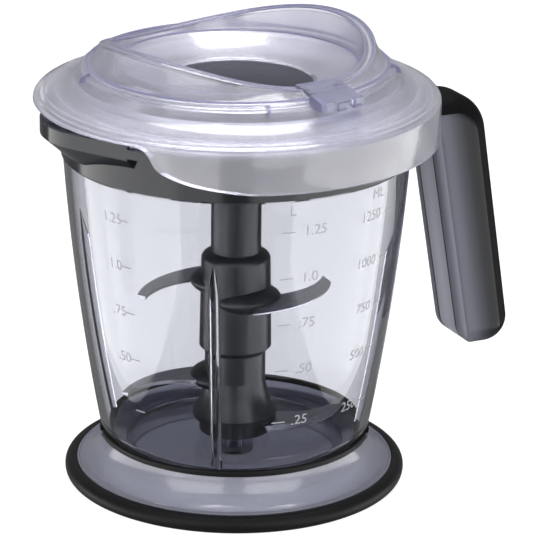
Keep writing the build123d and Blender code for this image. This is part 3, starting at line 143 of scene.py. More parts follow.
# the same polypropylene where a fin or fold stands edge on: the lilac shows
edgePp, tree, shader = startMaterial(
    "edgePp", "#8f8fae", Roughness=0.26, IOR=1.38, Transmission_Weight=0.5)
addGrain(tree, shader, 12, 0.015)

# clear polypropylene of the latch: a touch darker where it is thick
latchPp, tree, shader = startMaterial(
    "latchPp", "#c6c6d6", Roughness=0.14, IOR=1.42, Transmission_Weight=0.84)
addGrain(tree, shader, 9, 0.012)
letLightThrough(tree, shader, "#bdbdd0")
tintThickness(tree, "#7c7ca6", 90.0)

# thermoplastic rubber of the base ring: matt black with a soft sheen
blackTpe, tree, shader = startMaterial(
    "blackTpe", "#101011", Roughness=0.45, IOR=1.2, Sheen_Weight=0.04, Sheen_Roughness=0.4)
noise = addGrain(tree, shader, 0.9, 0.02, detail=3)
varyColour(tree, shader, noise, "#111112", "#161617")

# soft-touch rubber of the grip: flatter and darker than the ring
gripTpe, tree, shader = startMaterial(
    "gripTpe", "#0e0e0f", Roughness=0.5, IOR=1.1)
noise = addGrain(tree, shader, 0.8, 0.02, detail=3)
varyColour(tree, shader, noise, "#0c0c0d", "#111112")

# smoke ABS of the handle's shell, satin to glossy; its colour is painted shading, paler at its inner edge and
# near black toward the grip, standing in for light falling off across its rounded side
handleLine = {"reach": 86.0, "from": 143.2, "lean": 17.3 / 100.2}


def addHandleDepth(tree):
    # distance in millimetres outward from the handle's inner side, on Object coordinates
    h = handleLine
    place = addNode(tree, "ShaderNodeTexCoord")
    parts = addNode(tree, "ShaderNodeSeparateXYZ", {0: place.outputs["Object"]})
    drop = addNode(tree, "ShaderNodeMath", {0: h["from"] * mm, 1: parts.outputs["Z"]}, operation="SUBTRACT")
    side = addNode(tree, "ShaderNodeMath", {
        0: drop.outputs[0], 1: h["lean"], 2: h["reach"] * mm}, operation="MULTIPLY_ADD")
    depth = addNode(tree, "ShaderNodeMath", {0: parts.outputs["X"], 1: side.outputs[0]}, operation="SUBTRACT")
    return addNode(tree, "ShaderNodeMath", {0: depth.outputs[0], 1: 1 / mm}, operation="MULTIPLY").outputs[0]


def rampColour(tree, shader, distance, distanceStops):
    # colours at distances in millimetres; the first and last stop reach on
    low, high = distanceStops[0][0], distanceStops[-1][0]
    share = addNode(tree, "ShaderNodeMapRange", {"Value": distance, "From Min": low, "From Max": high})
    ramp = addNode(tree, "ShaderNodeValToRGB", {"Fac": share.outputs[0]})
    stops = ramp.color_ramp.elements
    while len(stops) < len(distanceStops):
        stops.new(0.5)
    for stop, (reach, colour) in zip(stops, distanceStops):
        stop.position = (reach - low) / (high - low)
        stop.color = toLinear(colour)
    tree.links.new(ramp.outputs["Color"], shader.inputs["Base Color"])


glossAbs, tree, shader = startMaterial(
    "glossAbs", "#4a4b52", Roughness=0.25, IOR=1.22)
addGrain(tree, shader, 16, 0.015)
# painted shading: the colour darkens with distance from the handle's inner side
rampColour(tree, shader, addHandleDepth(tree), [
    (2.0, "#5c5d66"), (6.0, "#54555d"), (10.0, "#3c3d43"), (14.0, "#202125"), (17.0, "#161719")])

# satin ABS of the handle's inner strip: pale in the middle, with a near-black line on each side of it that is
# painted shadow, standing in for the shade in the parting groove
satinAbs, tree, shader = startMaterial("satinAbs", "#a5a6ae", Roughness=0.3, IOR=1.3)
addGrain(tree, shader, 14, 0.015)
place = addNode(tree, "ShaderNodeTexCoord")
parts = addNode(tree, "ShaderNodeSeparateXYZ", {0: place.outputs["Object"]})
aside = addNode(tree, "ShaderNodeMath", {0: parts.outputs["Y"]}, operation="ABSOLUTE")
aside = addNode(tree, "ShaderNodeMath", {0: aside.outputs[0], 1: 1 / mm}, operation="MULTIPLY")
# painted shadow: the near-black stops between 7 and 7.7 mm aside stand in for the shade in the parting
# grooves
rampColour(tree, shader, aside.outputs[0], [
    (0, "#aeafb7"), (6.6, "#a0a1aa"), (7.0, "#0f1013"), (7.7, "#0f1013"), (8.1, "#6a6b74"),
    (14.0, "#7a7b85")])

# satin nylon of the blade hub and the gear housing: dark grey, smooth from a polished mould
darkNylon, tree, shader = startMaterial("darkNylon", "#17181b", Roughness=0.28, IOR=1.5)
noise = addGrain(tree, shader, 14, 0.015)
varyColour(tree, shader, noise, "#191a1d", "#1d1e21")

# ground stainless steel of the blades, pins and screws: fine streaks
groundSteel, tree, shader = startMaterial("groundSteel", "#b3b4ba", Metallic=1.0, Roughness=0.3)
noise = addGrain(tree, shader, 0.5, 0.004, detail=3, stretch=(0.12, 1, 1))
varyColour(tree, shader, noise, "#a9aab1", "#bcbdc3")

# natural acetal of the gears and bushes: ivory, slightly waxy
naturalPom, tree, shader = startMaterial("naturalPom", "#dcd9cd", Roughness=0.35, IOR=1.48)
noise = addGrain(tree, shader, 1.4, 0.01, detail=3)
varyColour(tree, shader, noise, "#d8d5c8", "#e0ddd2")

# silicone of the lid's seal
sealSilicone, tree, shader = startMaterial("sealSilicone", "#b4b5bf", Roughness=0.5, IOR=1.41)
addGrain(tree, shader, 1.0, 0.01)

# grey printing ink of the scales
greyInk, tree, shader = startMaterial("greyInk", "#8d8e93", Roughness=0.55, IOR=1.5)
addGrain(tree, shader, 0.6, 0.005)
print("materials done")


def finishMesh(mesh, sharpAngle):
    # smooth, with sharp edges above an angle in degrees
    mesh.validate()
    for face in mesh.polygons:
        face.use_smooth = True
    mesh.set_sharp_from_angle(angle=radians(sharpAngle))
    mesh.update()


def addObject(name, mesh, material=None):
    piece = bpy.data.objects.new(name, mesh)
    scene.collection.objects.link(piece)
    if material:
        mesh.materials.clear()
        mesh.materials.append(material)
    return piece


def plainMesh(piece):
    # the piece with its modifiers applied and removed
    bpy.context.view_layer.update()
    graph = bpy.context.evaluated_depsgraph_get()
    mesh = bpy.data.meshes.new_from_object(piece.evaluated_get(graph))
    piece.modifiers.clear()
    piece.data = mesh
    return piece


def runTree(piece, tree, **values):
    # runs a Geometry Nodes tree on a piece; each value goes to the input of that name
    modifier = piece.modifiers.new(tree.name, "NODES")
    modifier.node_group = tree
    sockets = {item.name: item.identifier for item in tree.interface.items_tree if item.in_out == "INPUT"}
    for key, value in values.items():
        modifier[sockets[key]] = value
    return plainMesh(piece)


def arcPoints(start, middle, end, steps):
    # points on the circle through three points, the start left out
    (ax, ay), (bx, by), (cx, cy) = start, middle, end
    aa, bb, cc = (x * x + y * y for x, y in (start, middle, end))
    d = 2 * (ax * (by - cy) + bx * (cy - ay) + cx * (ay - by))
    ux = (aa * (by - cy) + bb * (cy - ay) + cc * (ay - by)) / d
    uy = (aa * (cx - bx) + bb * (ax - cx) + cc * (bx - ax)) / d
    radius = hypot(ax - ux, ay - uy)
    a0, a1, a2 = (atan2(y - uy, x - ux) for x, y in (start, middle, end))
    while a1 - a0 > pi:
        a1 -= 2 * pi
    while a1 - a0 < -pi:
        a1 += 2 * pi
    while a2 - a1 > pi:
        a2 -= 2 * pi
    while a2 - a1 < -pi:
        a2 += 2 * pi
    turns = [a0 + (a2 - a0) * i / steps for i in range(1, steps + 1)]
    return [(ux + radius * cos(a), uy + radius * sin(a)) for a in turns]


def ellipseQuarter(cx, cy, rx, ry, startDegrees, steps=10):
    # points on a quarter of an ellipse, from a turn in degrees
    turns = [radians(startDegrees + 90 * i / steps) for i in range(steps + 1)]
    return [(cx + rx * cos(a), cy + ry * sin(a)) for a in turns]


def roundCorners(corners, steps=5):
    # corners are (x, y) or (x, y, radius); each radius becomes a fillet
    count = len(corners)
    points = []
    for i, corner in enumerate(corners):
        x, y = corner[:2]
        radius = corner[2] if len(corner) > 2 else 0
        if not radius:
            points.append((x, y))
            continue
        before, after = Vector(corners[i - 1][:2]), Vector(corners[(i + 1) % count][:2])
        here = Vector((x, y))
        a, b = (before - here), (after - here)
        reachA, reachB = a.length, b.length
        a.normalize()
        b.normalize()
        half = acos(max(-1, min(1, a.dot(b)))) / 2
        reach = min(radius / tan(half), reachA * 0.49, reachB * 0.49)
        r = reach * tan(half)
        centre = here + (a + b).normalized() * (r / sin(half))
        start, end = here + a * reach - centre, here + b * reach - centre
        sweep = start.angle_signed(end)
        for k in range(steps + 1):
            turn = -sweep * k / steps
            points.append((centre.x + start.x * cos(turn) - start.y * sin(turn),
                           centre.y + start.x * sin(turn) + start.y * cos(turn)))
    return points


def latheMesh(name, outline, segments=256, wave=None):
    # a closed outline of (radius, height) in millimetres, turned round the Z axis
    bm = bmesh.new()
    weight = bm.verts.layers.float.new("wave") if wave else None
    rings = []
    for i, (r, z) in enumerate(outline):
        turns = [2 * pi * k / segments for k in range(segments if r > 1e-6 else 1)]
        ring = [bm.verts.new((r * mm * cos(a), r * mm * sin(a), z * mm)) for a in turns]
        if wave:
            for v in ring:
                v[weight] = wave[i]
        rings.append(ring)
    for ringA, ringB in zip(rings, rings[1:] + rings[:1]):
        if len(ringA) == 1 and len(ringB) == 1:
            continue
        for k in range(segments):
            n = (k + 1) % segments
            if len(ringA) == 1:
                bm.faces.new((ringA[0], ringB[n], ringB[k]))
            elif len(ringB) == 1:
                bm.faces.new((ringA[k], ringA[n], ringB[0]))
            else:
                bm.faces.new((ringA[k], ringA[n], ringB[n], ringB[k]))
    bmesh.ops.recalc_face_normals(bm, faces=bm.faces)
    mesh = bpy.data.meshes.new(name)
    bm.to_mesh(mesh)
    bm.free()
    return mesh


def radialPlace(turn):
    # for prismMesh: u outward at a turn in degrees, v up and w sideways
    a = radians(turn)
    out, across = Vector((cos(a), sin(a), 0)), Vector((sin(a), -cos(a), 0))
    return lambda u, v, w: out * u + across * w + Vector((0, 0, v))


def prismMesh(name, outline, low, high, place):
    # a closed flat outline (u, v) pushed along w from low to high; place turns (u, v, w) into (x, y, z)
    bm = bmesh.new()
    rows = [[bm.verts.new(Vector(place(u, v, w)) * mm) for u, v in outline] for w in (low, high)]
    bm.faces.new(rows[0])
    bm.faces.new(rows[1])
    for i in range(len(outline)):
        n = (i + 1) % len(outline)
        bm.faces.new((rows[0][i], rows[0][n], rows[1][n], rows[1][i]))
    bmesh.ops.recalc_face_normals(bm, faces=bm.faces)
    mesh = bpy.data.meshes.new(name)
    bm.to_mesh(mesh)
    bm.free()
    return mesh


def combine(piece, other, operation):
    # boolean with another object, which is used up
    modifier = piece.modifiers.new("combine", "BOOLEAN")
    modifier.operation = operation
    modifier.solver = "EXACT"
    modifier.object = other
    plainMesh(piece)
    bpy.data.objects.remove(other)


def cutAway(piece, mesh):
    # takes the shape of a mesh out of the piece
    combine(piece, addObject("cutter", mesh), "DIFFERENCE")


def joinMeshes(name, meshes, material):
    # one piece from several meshes
    bm = bmesh.new()
    for mesh in meshes:
        bm.from_mesh(mesh)
    bmesh.ops.remove_doubles(bm, verts=bm.verts, dist=1e-7)
    bmesh.ops.recalc_face_normals(bm, faces=bm.faces)
    whole = bpy.data.meshes.new(name)
    bm.to_mesh(whole)
    bm.free()
    return addObject(name, whole, material)


def startTree(name, floats, extras):
    # a Geometry Nodes tree with its inputs: floats by name, extras as (name, kind)
    tree = bpy.data.node_groups.new(name, "GeometryNodeTree")
    tree.interface.new_socket("Geometry", in_out="INPUT", socket_type="NodeSocketGeometry")
    for key in floats:
        tree.interface.new_socket(key, in_out="INPUT", socket_type="NodeSocketFloat")
    for key, kind in extras:
        tree.interface.new_socket(key, in_out="INPUT", socket_type=kind)
    tree.interface.new_socket("Geometry", in_out="OUTPUT", socket_type="NodeSocketGeometry")
    return tree, addNode(tree, "NodeGroupInput")


def endTree(tree, geometry, material):
    # every tree ends in Realize Instances and Set Material
    real = addNode(tree, "GeometryNodeRealizeInstances", {"Geometry": geometry})
    painted = addNode(tree, "GeometryNodeSetMaterial", {"Geometry": real.outputs[0], "Material": material})
    addNode(tree, "NodeGroupOutput", {0: painted.outputs[0]})


def makeCopiesTree():
    # copies round the Z axis: Count of them, the first turned by Start degrees
    tree, given = startTree(
        "ringOfCopies", ["Start"], [("Count", "NodeSocketInt"), ("Material", "NodeSocketMaterial")])
    line = addNode(tree, "GeometryNodeMeshLine", {"Count": given.outputs["Count"], "Offset": (0, 0, 0)})
    index = addNode(tree, "GeometryNodeInputIndex")
    share = addNode(tree, "ShaderNodeMath", {
        0: index.outputs[0], 1: given.outputs["Count"]}, operation="DIVIDE")
    turns = addNode(tree, "ShaderNodeMath", {0: share.outputs[0], 1: 360.0}, operation="MULTIPLY")
    whole = addNode(tree, "ShaderNodeMath", {0: turns.outputs[0], 1: given.outputs["Start"]}, operation="ADD")
    angle = addNode(tree, "ShaderNodeMath", {0: whole.outputs[0]}, operation="RADIANS")
    turn = addNode(tree, "ShaderNodeCombineXYZ", {"Z": angle.outputs[0]})
    copies = addNode(tree, "GeometryNodeInstanceOnPoints", {
        "Points": line.outputs[0], "Instance": given.outputs["Geometry"], "Rotation": turn.outputs[0]})
    endTree(tree, copies.outputs[0], given.outputs["Material"])
    return tree


def makeSaddleTree():
    # lifts points by Swing * cos 2(angle - Peak), as far as their wave attribute says
    tree, given = startTree("saddleWave", ["Swing", "Peak"], [("Material", "NodeSocketMaterial")])
    place = addNode(tree, "GeometryNodeInputPosition")
    parts = addNode(tree, "ShaderNodeSeparateXYZ", {0: place.outputs[0]})
    around = addNode(tree, "ShaderNodeMath", {
        0: parts.outputs["Y"], 1: parts.outputs["X"]}, operation="ARCTAN2")
    peak = addNode(tree, "ShaderNodeMath", {0: given.outputs["Peak"]}, operation="RADIANS")
    turned = addNode(tree, "ShaderNodeMath", {0: around.outputs[0], 1: peak.outputs[0]}, operation="SUBTRACT")
    doubled = addNode(tree, "ShaderNodeMath", {0: turned.outputs[0], 1: 2.0}, operation="MULTIPLY")
    wave = addNode(tree, "ShaderNodeMath", {0: doubled.outputs[0]}, operation="COSINE")
    swing = addNode(tree, "ShaderNodeMath", {
        0: wave.outputs[0], 1: given.outputs["Swing"]}, operation="MULTIPLY")
    weight = addNode(tree, "GeometryNodeInputNamedAttribute", {"Name": "wave"}, data_type="FLOAT")
    lift = addNode(tree, "ShaderNodeMath", {0: swing.outputs[0], 1: weight.outputs[0]}, operation="MULTIPLY")
    offset = addNode(tree, "ShaderNodeCombineXYZ", {"Z": lift.outputs[0]})
    moved = addNode(tree, "GeometryNodeSetPosition", {
        "Geometry": given.outputs["Geometry"], "Offset": offset.outputs[0]})
    endTree(tree, moved.outputs[0], given.outputs["Material"])
    return tree


copiesTree = makeCopiesTree()
saddleTree = makeSaddleTree()

baseSizes = {
    "ringRadius": 72.0, "ringBore": 60.0, "ringHeight": 6.8, "bulgeHeight": 3.3, "soleInset": 2.2,
    "crownInset": 3.2, "ringEdge": 0.5, "ringGap": 0.05,
    "lip": 66.9, "lipBead": [(0, 6.7), (0.35, 7.15), (0.8, 7.2), (1.25, 6.75)],   # inward, height
    "dishFootLow": 2.4, "dishFootHigh": 4.8, "dishTop": 19.2, "dishTopRadius": 57.0, "dishWall": 1.8,
    "flare": (60.5, 10.6), "flareFoot": (65.0, 7.0), "flareInset": 1.2,
    "shadeRingTop": 21.8, "shadeRingInner": 55.2, "shadeRingOuter": 57.2, "shadeRingRound": 0.3, "shadeRingCrown": 0.7, "lift": 0.02,
    "notchTurns": [165.0, 325.0], "notchWide": 6.0, "notchInner": 50.0, "notchOuter": 62.0,
    "notchDeep": 1.6, "notchAbove": 1.0,
}


def makeBase():
    s = baseSizes
    lip, low, high = s["lip"], s["dishFootLow"], s["dishFootHigh"]
    bulge, crown, edge = s["bulgeHeight"], s["ringHeight"], s["ringEdge"]
    ring = [(s["ringBore"], 0)]
    ring += ellipseQuarter(s["ringRadius"] - s["soleInset"], bulge, s["soleInset"], bulge, 270)
    ring += ellipseQuarter(s["ringRadius"] - s["crownInset"], bulge, s["crownInset"], crown - bulge, 0)[1:]
    ring += [(lip + edge, crown), (lip + s["ringGap"], crown - edge), (lip + s["ringGap"], low),
             (s["ringBore"], low)]
    rubberRing = addObject("rubberRing", latheMesh("rubberRing", ring), blackTpe)
    finishMesh(rubberRing.data, 40)
    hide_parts("base_ring")

    top, wall, height = s["dishTopRadius"], s["dishWall"], s["dishTop"]
    dish = [(0, low + s["lift"]), (lip, low + s["lift"])]
    dish += [(lip - inward, z) for inward, z in s["lipBead"]] + [s["flareFoot"]]
    dish += arcPoints(s["flareFoot"], s["flare"], (top, height), 30)
    dish += [(top - wall, height)]
    dish += arcPoints(dish[-1], (s["flare"][0] - wall, s["flare"][1]),
                      (s["flareFoot"][0] - wall - s["flareInset"], high), 30)
    dish += [(0, high)]
    smokeDish = addObject("smokeDish", latheMesh("smokeDish", dish), smokeSan)

    # a black ring on the dish's lip, where the jug's shoulder comes down: painted shade, a dark thing
    # standing in for the shadow and refraction in the gap under the shoulder
    inner, outer, shadeRingTop, small = s["shadeRingInner"], s["shadeRingOuter"], s["shadeRingTop"], s["shadeRingRound"]
    foot = height + s["lift"]
    profile = roundCorners([(inner, foot, small), (outer, foot, small), (outer, shadeRingTop, s["shadeRingCrown"]),
                            (inner, shadeRingTop, small)], steps=4)
    shadeRing = addObject("lipShadeRing", latheMesh("lipShadeRing", profile), blackTpe)
    half, below, above = s["notchWide"] / 2, height - s["notchDeep"], shadeRingTop + s["notchAbove"]
    outline = [(s["notchInner"], below), (s["notchOuter"], below), (s["notchOuter"], above),
               (s["notchInner"], above)]
    for turn in s["notchTurns"]:
        for piece, grow in ((smokeDish, 0.0), (shadeRing, s["lift"])):
            cutAway(piece, prismMesh("cutter", outline, -half - grow, half + grow, radialPlace(turn)))
    finishMesh(smokeDish.data, 35)
    finishMesh(shadeRing.data, 35)
    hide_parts("base_dish")
    for piece in (rubberRing, smokeDish, shadeRing):
        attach(piece, "base")


makeBase()
print("base done")

jugSizes = {
    "wall": 2.4, "shoulder": (56.7, 22.0), "middle": (65.39, 76.97), "neck": (71.9, 141.5), "neckStep": 0.7,
    "rim": 160.6, "rimRound": 0.6, "neckEase": 0.4, "shoulderEase": 0.5, "heelEase": 0.4,
    "lowerRadius": 54.85, "footRadius": 46.5, "footLow": 5.15, "floorTop": 17.2, "floorLow": 14.6,
    "corner": 7.0, "floorEase": (1.0, 2.4), "bossRadius": 8.0, "bossLow": 7.1,
    "pinRadius": 3.0, "pinLow": 9.1, "pipTop": 18.2, "pipRadius": 6.0, "pipTaper": 0.3,
    "ribStart": 237.5, "ribCount": 4, "ribHalf": 2.3, "ribDepth": 3.4, "ribTop": 113.5, "ribTaper": 13.0,
    "ribFoot": 19.0, "ribSteps": 16, "tipSteps": 8, "ribTurns": (25, 50, 75, 90, 105, 130, 155),
    "ribRound": 0.8, "narrowShare": 0.88, "narrowPower": 1.3, "thinShare": 0.9, "thinPower": 1.1,
}
wallLine = [jugSizes["shoulder"]] + arcPoints(jugSizes["shoulder"], jugSizes["middle"], jugSizes["neck"], 120)


def wallRadius(height):
    # radius of the jug's outer wall at a height, in millimetres
    for (r0, z0), (r1, z1) in zip(wallLine, wallLine[1:]):
        if height <= z1:
            return r0 + (r1 - r0) * (height - z0) / (z1 - z0)
    return wallLine[-1][0]


def makeRib():
    # a rounded rib on the inside of the wall, with a pointed top
    s = jugSizes
    bm = bmesh.new()
    top, taper, steps, tipSteps = s["ribTop"], s["ribTaper"], s["ribSteps"], s["tipSteps"]
    levels = [s["ribFoot"] + (top - taper - s["ribFoot"]) * i / steps for i in range(steps + 1)]
    levels += [top - taper * (1 - i / tipSteps) for i in range(1, tipSteps + 1)]
    rows = []
    for z in levels:
        rise = max(0.0, (z - top + taper) / taper)
        half = s["ribHalf"] * (1 - s["narrowShare"] * rise ** s["narrowPower"])
        depth = s["ribDepth"] * (1 - s["thinShare"] * rise ** s["thinPower"])
        root = wallRadius(max(z, s["shoulder"][1] + 1)) - s["wall"]
        back = root + s["wall"] * 0.5
        section = [(half, back), (half, root)]
        for t in s["ribTurns"]:
            section.append((half * cos(radians(t)), root - depth * sin(radians(t)) ** s["ribRound"]))
        section += [(-half, root), (-half, back)]
        rows.append([bm.verts.new((v * mm, u * mm, z * mm)) for u, v in section])
    for low, high in zip(rows, rows[1:]):
        for i in range(len(low)):
            n = (i + 1) % len(low)
            bm.faces.new((low[i], low[n], high[n], high[i]))
    bm.faces.new(rows[0])
    bm.faces.new(rows[-1])
    bmesh.ops.recalc_face_normals(bm, faces=bm.faces)
    mesh = bpy.data.meshes.new("rib")
    bm.to_mesh(mesh)
    bm.free()
    return addObject("rib", mesh)


def makeJug():
    s = jugSizes
    wall, corner, rim, rimRound = s["wall"], s["corner"], s["rim"], s["rimRound"]
    (shoulder, shoulderHeight), (middle, middleHeight) = s["shoulder"], s["middle"]
    neck, neckHeight = s["neck"][0] - s["neckStep"], s["neck"][1]
    lower, foot, floorTop = s["lowerRadius"], s["footRadius"], s["floorTop"]
    heel = shoulderHeight - wall
    # from the boss under the floor outward and up to the shoulder
    outline = [(0, s["bossLow"]), (s["bossRadius"], s["bossLow"]), (s["bossRadius"], s["floorLow"])]
    outline += [(foot - wall, s["floorLow"]), (foot - wall, s["footLow"]), (foot, s["footLow"])]
    outline += [(foot, heel - corner)]
    outline += arcPoints(outline[-1], (lower - corner * (1 - cos(pi / 4)), heel - corner * cos(pi / 4)),
                         (lower, heel), 10)
    outline += [(lower, shoulderHeight - s["heelEase"]), (lower + s["heelEase"], shoulderHeight)]
    outline += [(shoulder - s["shoulderEase"], shoulderHeight),
                (shoulder, shoulderHeight + s["shoulderEase"])]
    # up the tapered wall, over the rim and down the inside
    outline += arcPoints(s["shoulder"], s["middle"], s["neck"], 48)[1:]
    outline += [(neck, neckHeight + s["neckEase"]), (neck, rim - rimRound), (neck - rimRound, rim)]
    outline += [(neck - wall + rimRound, rim), (neck - wall, rim - rimRound), (neck - wall, neckHeight)]
    outline += arcPoints(outline[-1], (middle - wall, middleHeight),
                         (shoulder - wall, shoulderHeight + wall), 48)
    inward, rise = s["floorEase"]
    outline += arcPoints(outline[-1], (lower - wall - inward, floorTop + rise),
                         (lower - wall - corner, floorTop), 12)
    outline += [(s["pipRadius"], floorTop), (s["pipRadius"] - s["pipTaper"], s["pipTop"])]
    outline += [(s["pinRadius"], s["pipTop"]), (s["pinRadius"], s["pinLow"]), (0, s["pinLow"])]
    jug = addObject("clearJug", latheMesh("clearJug", outline, 288), clearSan)

    # one rib, then copies of it round the axis, fused to the wall
    rib = runTree(makeRib(), copiesTree, Start=s["ribStart"], Count=s["ribCount"], Material=clearSan)
    combine(jug, rib, "UNION")
    finishMesh(jug.data, 30)
    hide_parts("jug_body")
    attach(jug, "jug")


makeJug()
print("jug done")

lidSizes = {
    "skirtRadius": 84.0, "skirtWall": 2.2, "skirtLow": 148.6, "skirtRound": 3.0, "skirtTop": 168.0,
    "skirtFoot": [(0.7, 0), (0.2, 0.2), (0, 0.7)],   # inward, up
    "beadRadius": 79.4, "bead": [(79.7, 168.0), (79.4, 168.15), (78.95, 168.9)],   # radius, height
    "edgeRadius": 73.0, "edgeHeight": 170.0, "edge": [(73.5, 169.95), (73.0, 170.15)],
    "swell": (68.0, 173.0), "ledgeRadius": 64.4, "ledgeHeight": 178.4, "ledgeInner": 60.4,
    "ledgeEase": (0.3, 0.35), "ledgeRound": 0.2, "roofWall": 2.2, "roofShift": 1.1, "innerRound": 1.0,
    "footRound": 0.5,
    "spoutEdge": [(44.0, 165.3), (50.5, 165.2), (54.2, 163.2), (57.0, 157.6), (61.0, 154.6), (67.0, 152.0),
                  (78.0, 148.95)],
    "notchTop": 158.4, "notchHalf": 36.0, "notchSlope": 12.0, "notchRound": 6.0,
    "cutBelow": 6.0, "cutOver": 1.0, "cutNear": 20.0, "cutFar": 95.0,
    "plugRadius": 68.0, "plugInner": 65.6, "discLow": 150.6, "discTop": 152.8, "tube": 33.2, "plugRound": 0.5,
    "plugTops": (171.4, 172.8), "gasketLow": 155.6, "gasketHigh": 158.2, "gasketDepth": 1.3,
    "ribRadius": 74.8, "ribWall": 1.6, "ribLow": 161.65, "ribTops": (167.5, 167.7),
}


def smoothPath(points, steps):
    # a smooth line through the points, sampled between each pair
    padded = [points[0]] + list(points) + [points[-1]]
    path = []
    for corners in zip(padded, padded[1:], padded[2:], padded[3:]):
        for i in range(steps):
            t = i / steps
            place = []
            for a, b, c, d in zip(*corners):
                bend = (2 * a - 5 * b + 4 * c - d) * t * t
                place.append(0.5 * (2 * b + (c - a) * t + bend + (3 * b - a - 3 * c + d) * t ** 3))
            path.append(tuple(place))
    return path + [points[-1]]


def makeLidShell():
    s = lidSizes
    skirt, inner, low, top = s["skirtRadius"], s["skirtRadius"] - s["skirtWall"], s["skirtLow"], s["skirtTop"]
    curve, roof, shift, small = s["skirtRound"], s["roofWall"], s["roofShift"], s["innerRound"]
    swell, swellHeight = s["swell"]
    ledge, ledgeHeight = s["ledgeRadius"], s["ledgeHeight"]
    # up the skirt and over the roof to the ledge
    outline = [(skirt - inward, low + up) for inward, up in s["skirtFoot"]]
    outline += ellipseQuarter(skirt - curve, top - curve, curve, curve, 0)
    outline += s["bead"] + s["edge"]
    outline += arcPoints(outline[-1], s["swell"],
                         (ledge + s["ledgeEase"][0], ledgeHeight - s["ledgeEase"][1]), 20)
    outline += [(ledge - s["ledgeRound"], ledgeHeight), (s["ledgeInner"], ledgeHeight)]
    # and back underneath, one wall lower
    outline += [(s["ledgeInner"], ledgeHeight - roof), (ledge - shift, ledgeHeight - roof)]
    outline += arcPoints(outline[-1], (swell - shift, swellHeight - roof),
                         (s["edgeRadius"], s["edgeHeight"] - roof), 20)
    outline += [(s["beadRadius"], top - roof), (inner - small, top - roof), (inner, top - roof - small)]
    outline += [(inner, low + s["footRound"]), (inner + s["footRound"], low)]
    shell = addObject("lidShell", latheMesh("lidShell", outline, 288), frostedPp)

    # cut over the spout, with an S-shaped edge on each side
    near, far, below, over = s["cutNear"], s["cutFar"], low - s["cutBelow"], -s["cutOver"]
    edge = smoothPath(s["spoutEdge"], 6)
    side = edge + [(edge[-1][0], below), (over, below), (over, edge[0][1])]
    for sign in (-1, 1):
        outline = [(sign * u, v) for u, v in side]
        cutAway(shell, prismMesh("cutter", outline, -far, -near, lambda u, v, w: (w, u, v)))
    # notch over the handle
    half, slope, notchTop, corner = s["notchHalf"], s["notchSlope"], s["notchTop"], s["notchRound"]
    notch = roundCorners([(-half - slope, below), (-half, notchTop, corner), (half, notchTop, corner),
                          (half + slope, below)])
    cutAway(shell, prismMesh("cutter", notch, near, far, lambda u, v, w: (w, u, v)))
    finishMesh(shell.data, 28)

    # plug ring with its closing disc, and rest rib: the part of the moulding that enters the jug
    plug, plugIn, groove = s["plugRadius"], s["plugInner"], s["plugRadius"] - s["gasketDepth"]
    disc, tube, gasketLow, gasketHigh = s["discLow"], s["tube"], s["gasketLow"], s["gasketHigh"]
    ring = [(tube, disc), (plug - s["plugRound"], disc), (plug, disc + s["plugRound"]), (plug, gasketLow)]
    ring += [(groove, gasketLow), (groove, gasketHigh), (plug, gasketHigh), (plug, s["plugTops"][0])]
    ring += [(plugIn, s["plugTops"][1]), (plugIn, s["discTop"]), (tube, s["discTop"])]
    plugRing = addObject("lidPlug", latheMesh("lidPlug", ring, 192), frostedPp)
    finishMesh(plugRing.data, 30)
    outer, inner = s["ribRadius"], s["ribRadius"] - s["ribWall"]
    rest = [(inner, s["ribLow"]), (outer, s["ribLow"]), (outer, s["ribTops"][0]), (inner, s["ribTops"][1])]
    restRib = addObject("lidRestRib", latheMesh("lidRestRib", rest, 192), frostedPp)
    finishMesh(restRib.data, 30)
    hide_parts("lid_cover")
    for piece in (shell, plugRing, restRib):
        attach(piece, "lid")


makeLidShell()
print("lid shell done")

craterSizes = {
    "foot": 62.6, "footLow": 178.4, "footTop": 179.4, "footEase": (0.8, 0.5), "wallFoot": 61.6,
    "rim": 56.8, "rimWidth": 5.4, "rimHeight": 187.2, "rimDrop": 0.7, "wall": 2.2, "wallSpread": 3.6,
    "outerBend": 1.5, "innerBend": 1.4,
    "outerBead": [(0.25, 0.25), (0.8, 0), (1.3, 0.1), (1.7, 0.55)],   # inward from the rim, down
    "innerBead": [(1.6, 0.55), (1.2, 0.15), (0.6, 0), (0, 0.5)],   # outward from the band, down
    "swing": 5.5, "peak": 17.0, "bowlFoot": (50.2, 180.0), "bowlEase": (0.9, 0.5),
    "step": (42.0, 176.6), "stepRise": (0.6, 0.25), "stepDrop": 0.1,
    "holeHeight": 172.8, "holeRound": 1.6, "holeMiddle": 0.47, "holeEase": (0.8, 0.2),
    "bore": 31.0, "boreSlack": 0.5, "boreTop": 171.6, "seat": 29.2, "seatHeight": 160.0, "tube": 33.2,
    "low": 150.6, "edgeThick": 0.42,
    "edges": [("innerRim", 51.7, 186.9, 1), ("outerRim", 55.6, 186.9, 1), ("bowlStep", 49.7, 179.9, 0),
              ("craterFoot", 61.9, 180.2, 0)],
    "leverAngle": 283.0, "pocketHalf": 10.5, "pocketInner": 49.3, "pocketOuter": 72.0, "pocketLow": 177.6,
    "pocketTop": 200.0, "lineGap": 2.0,
}


def cutPocket(piece, inner):
    # room for the latch, from a radius outward
    s = craterSizes
    outer, low, top, half = s["pocketOuter"], s["pocketLow"], s["pocketTop"], s["pocketHalf"]
    pocket = [(inner, low), (outer, low), (outer, top), (inner, top)]
    cutAway(piece, prismMesh("cutter", pocket, -half, half, radialPlace(s["leverAngle"])))


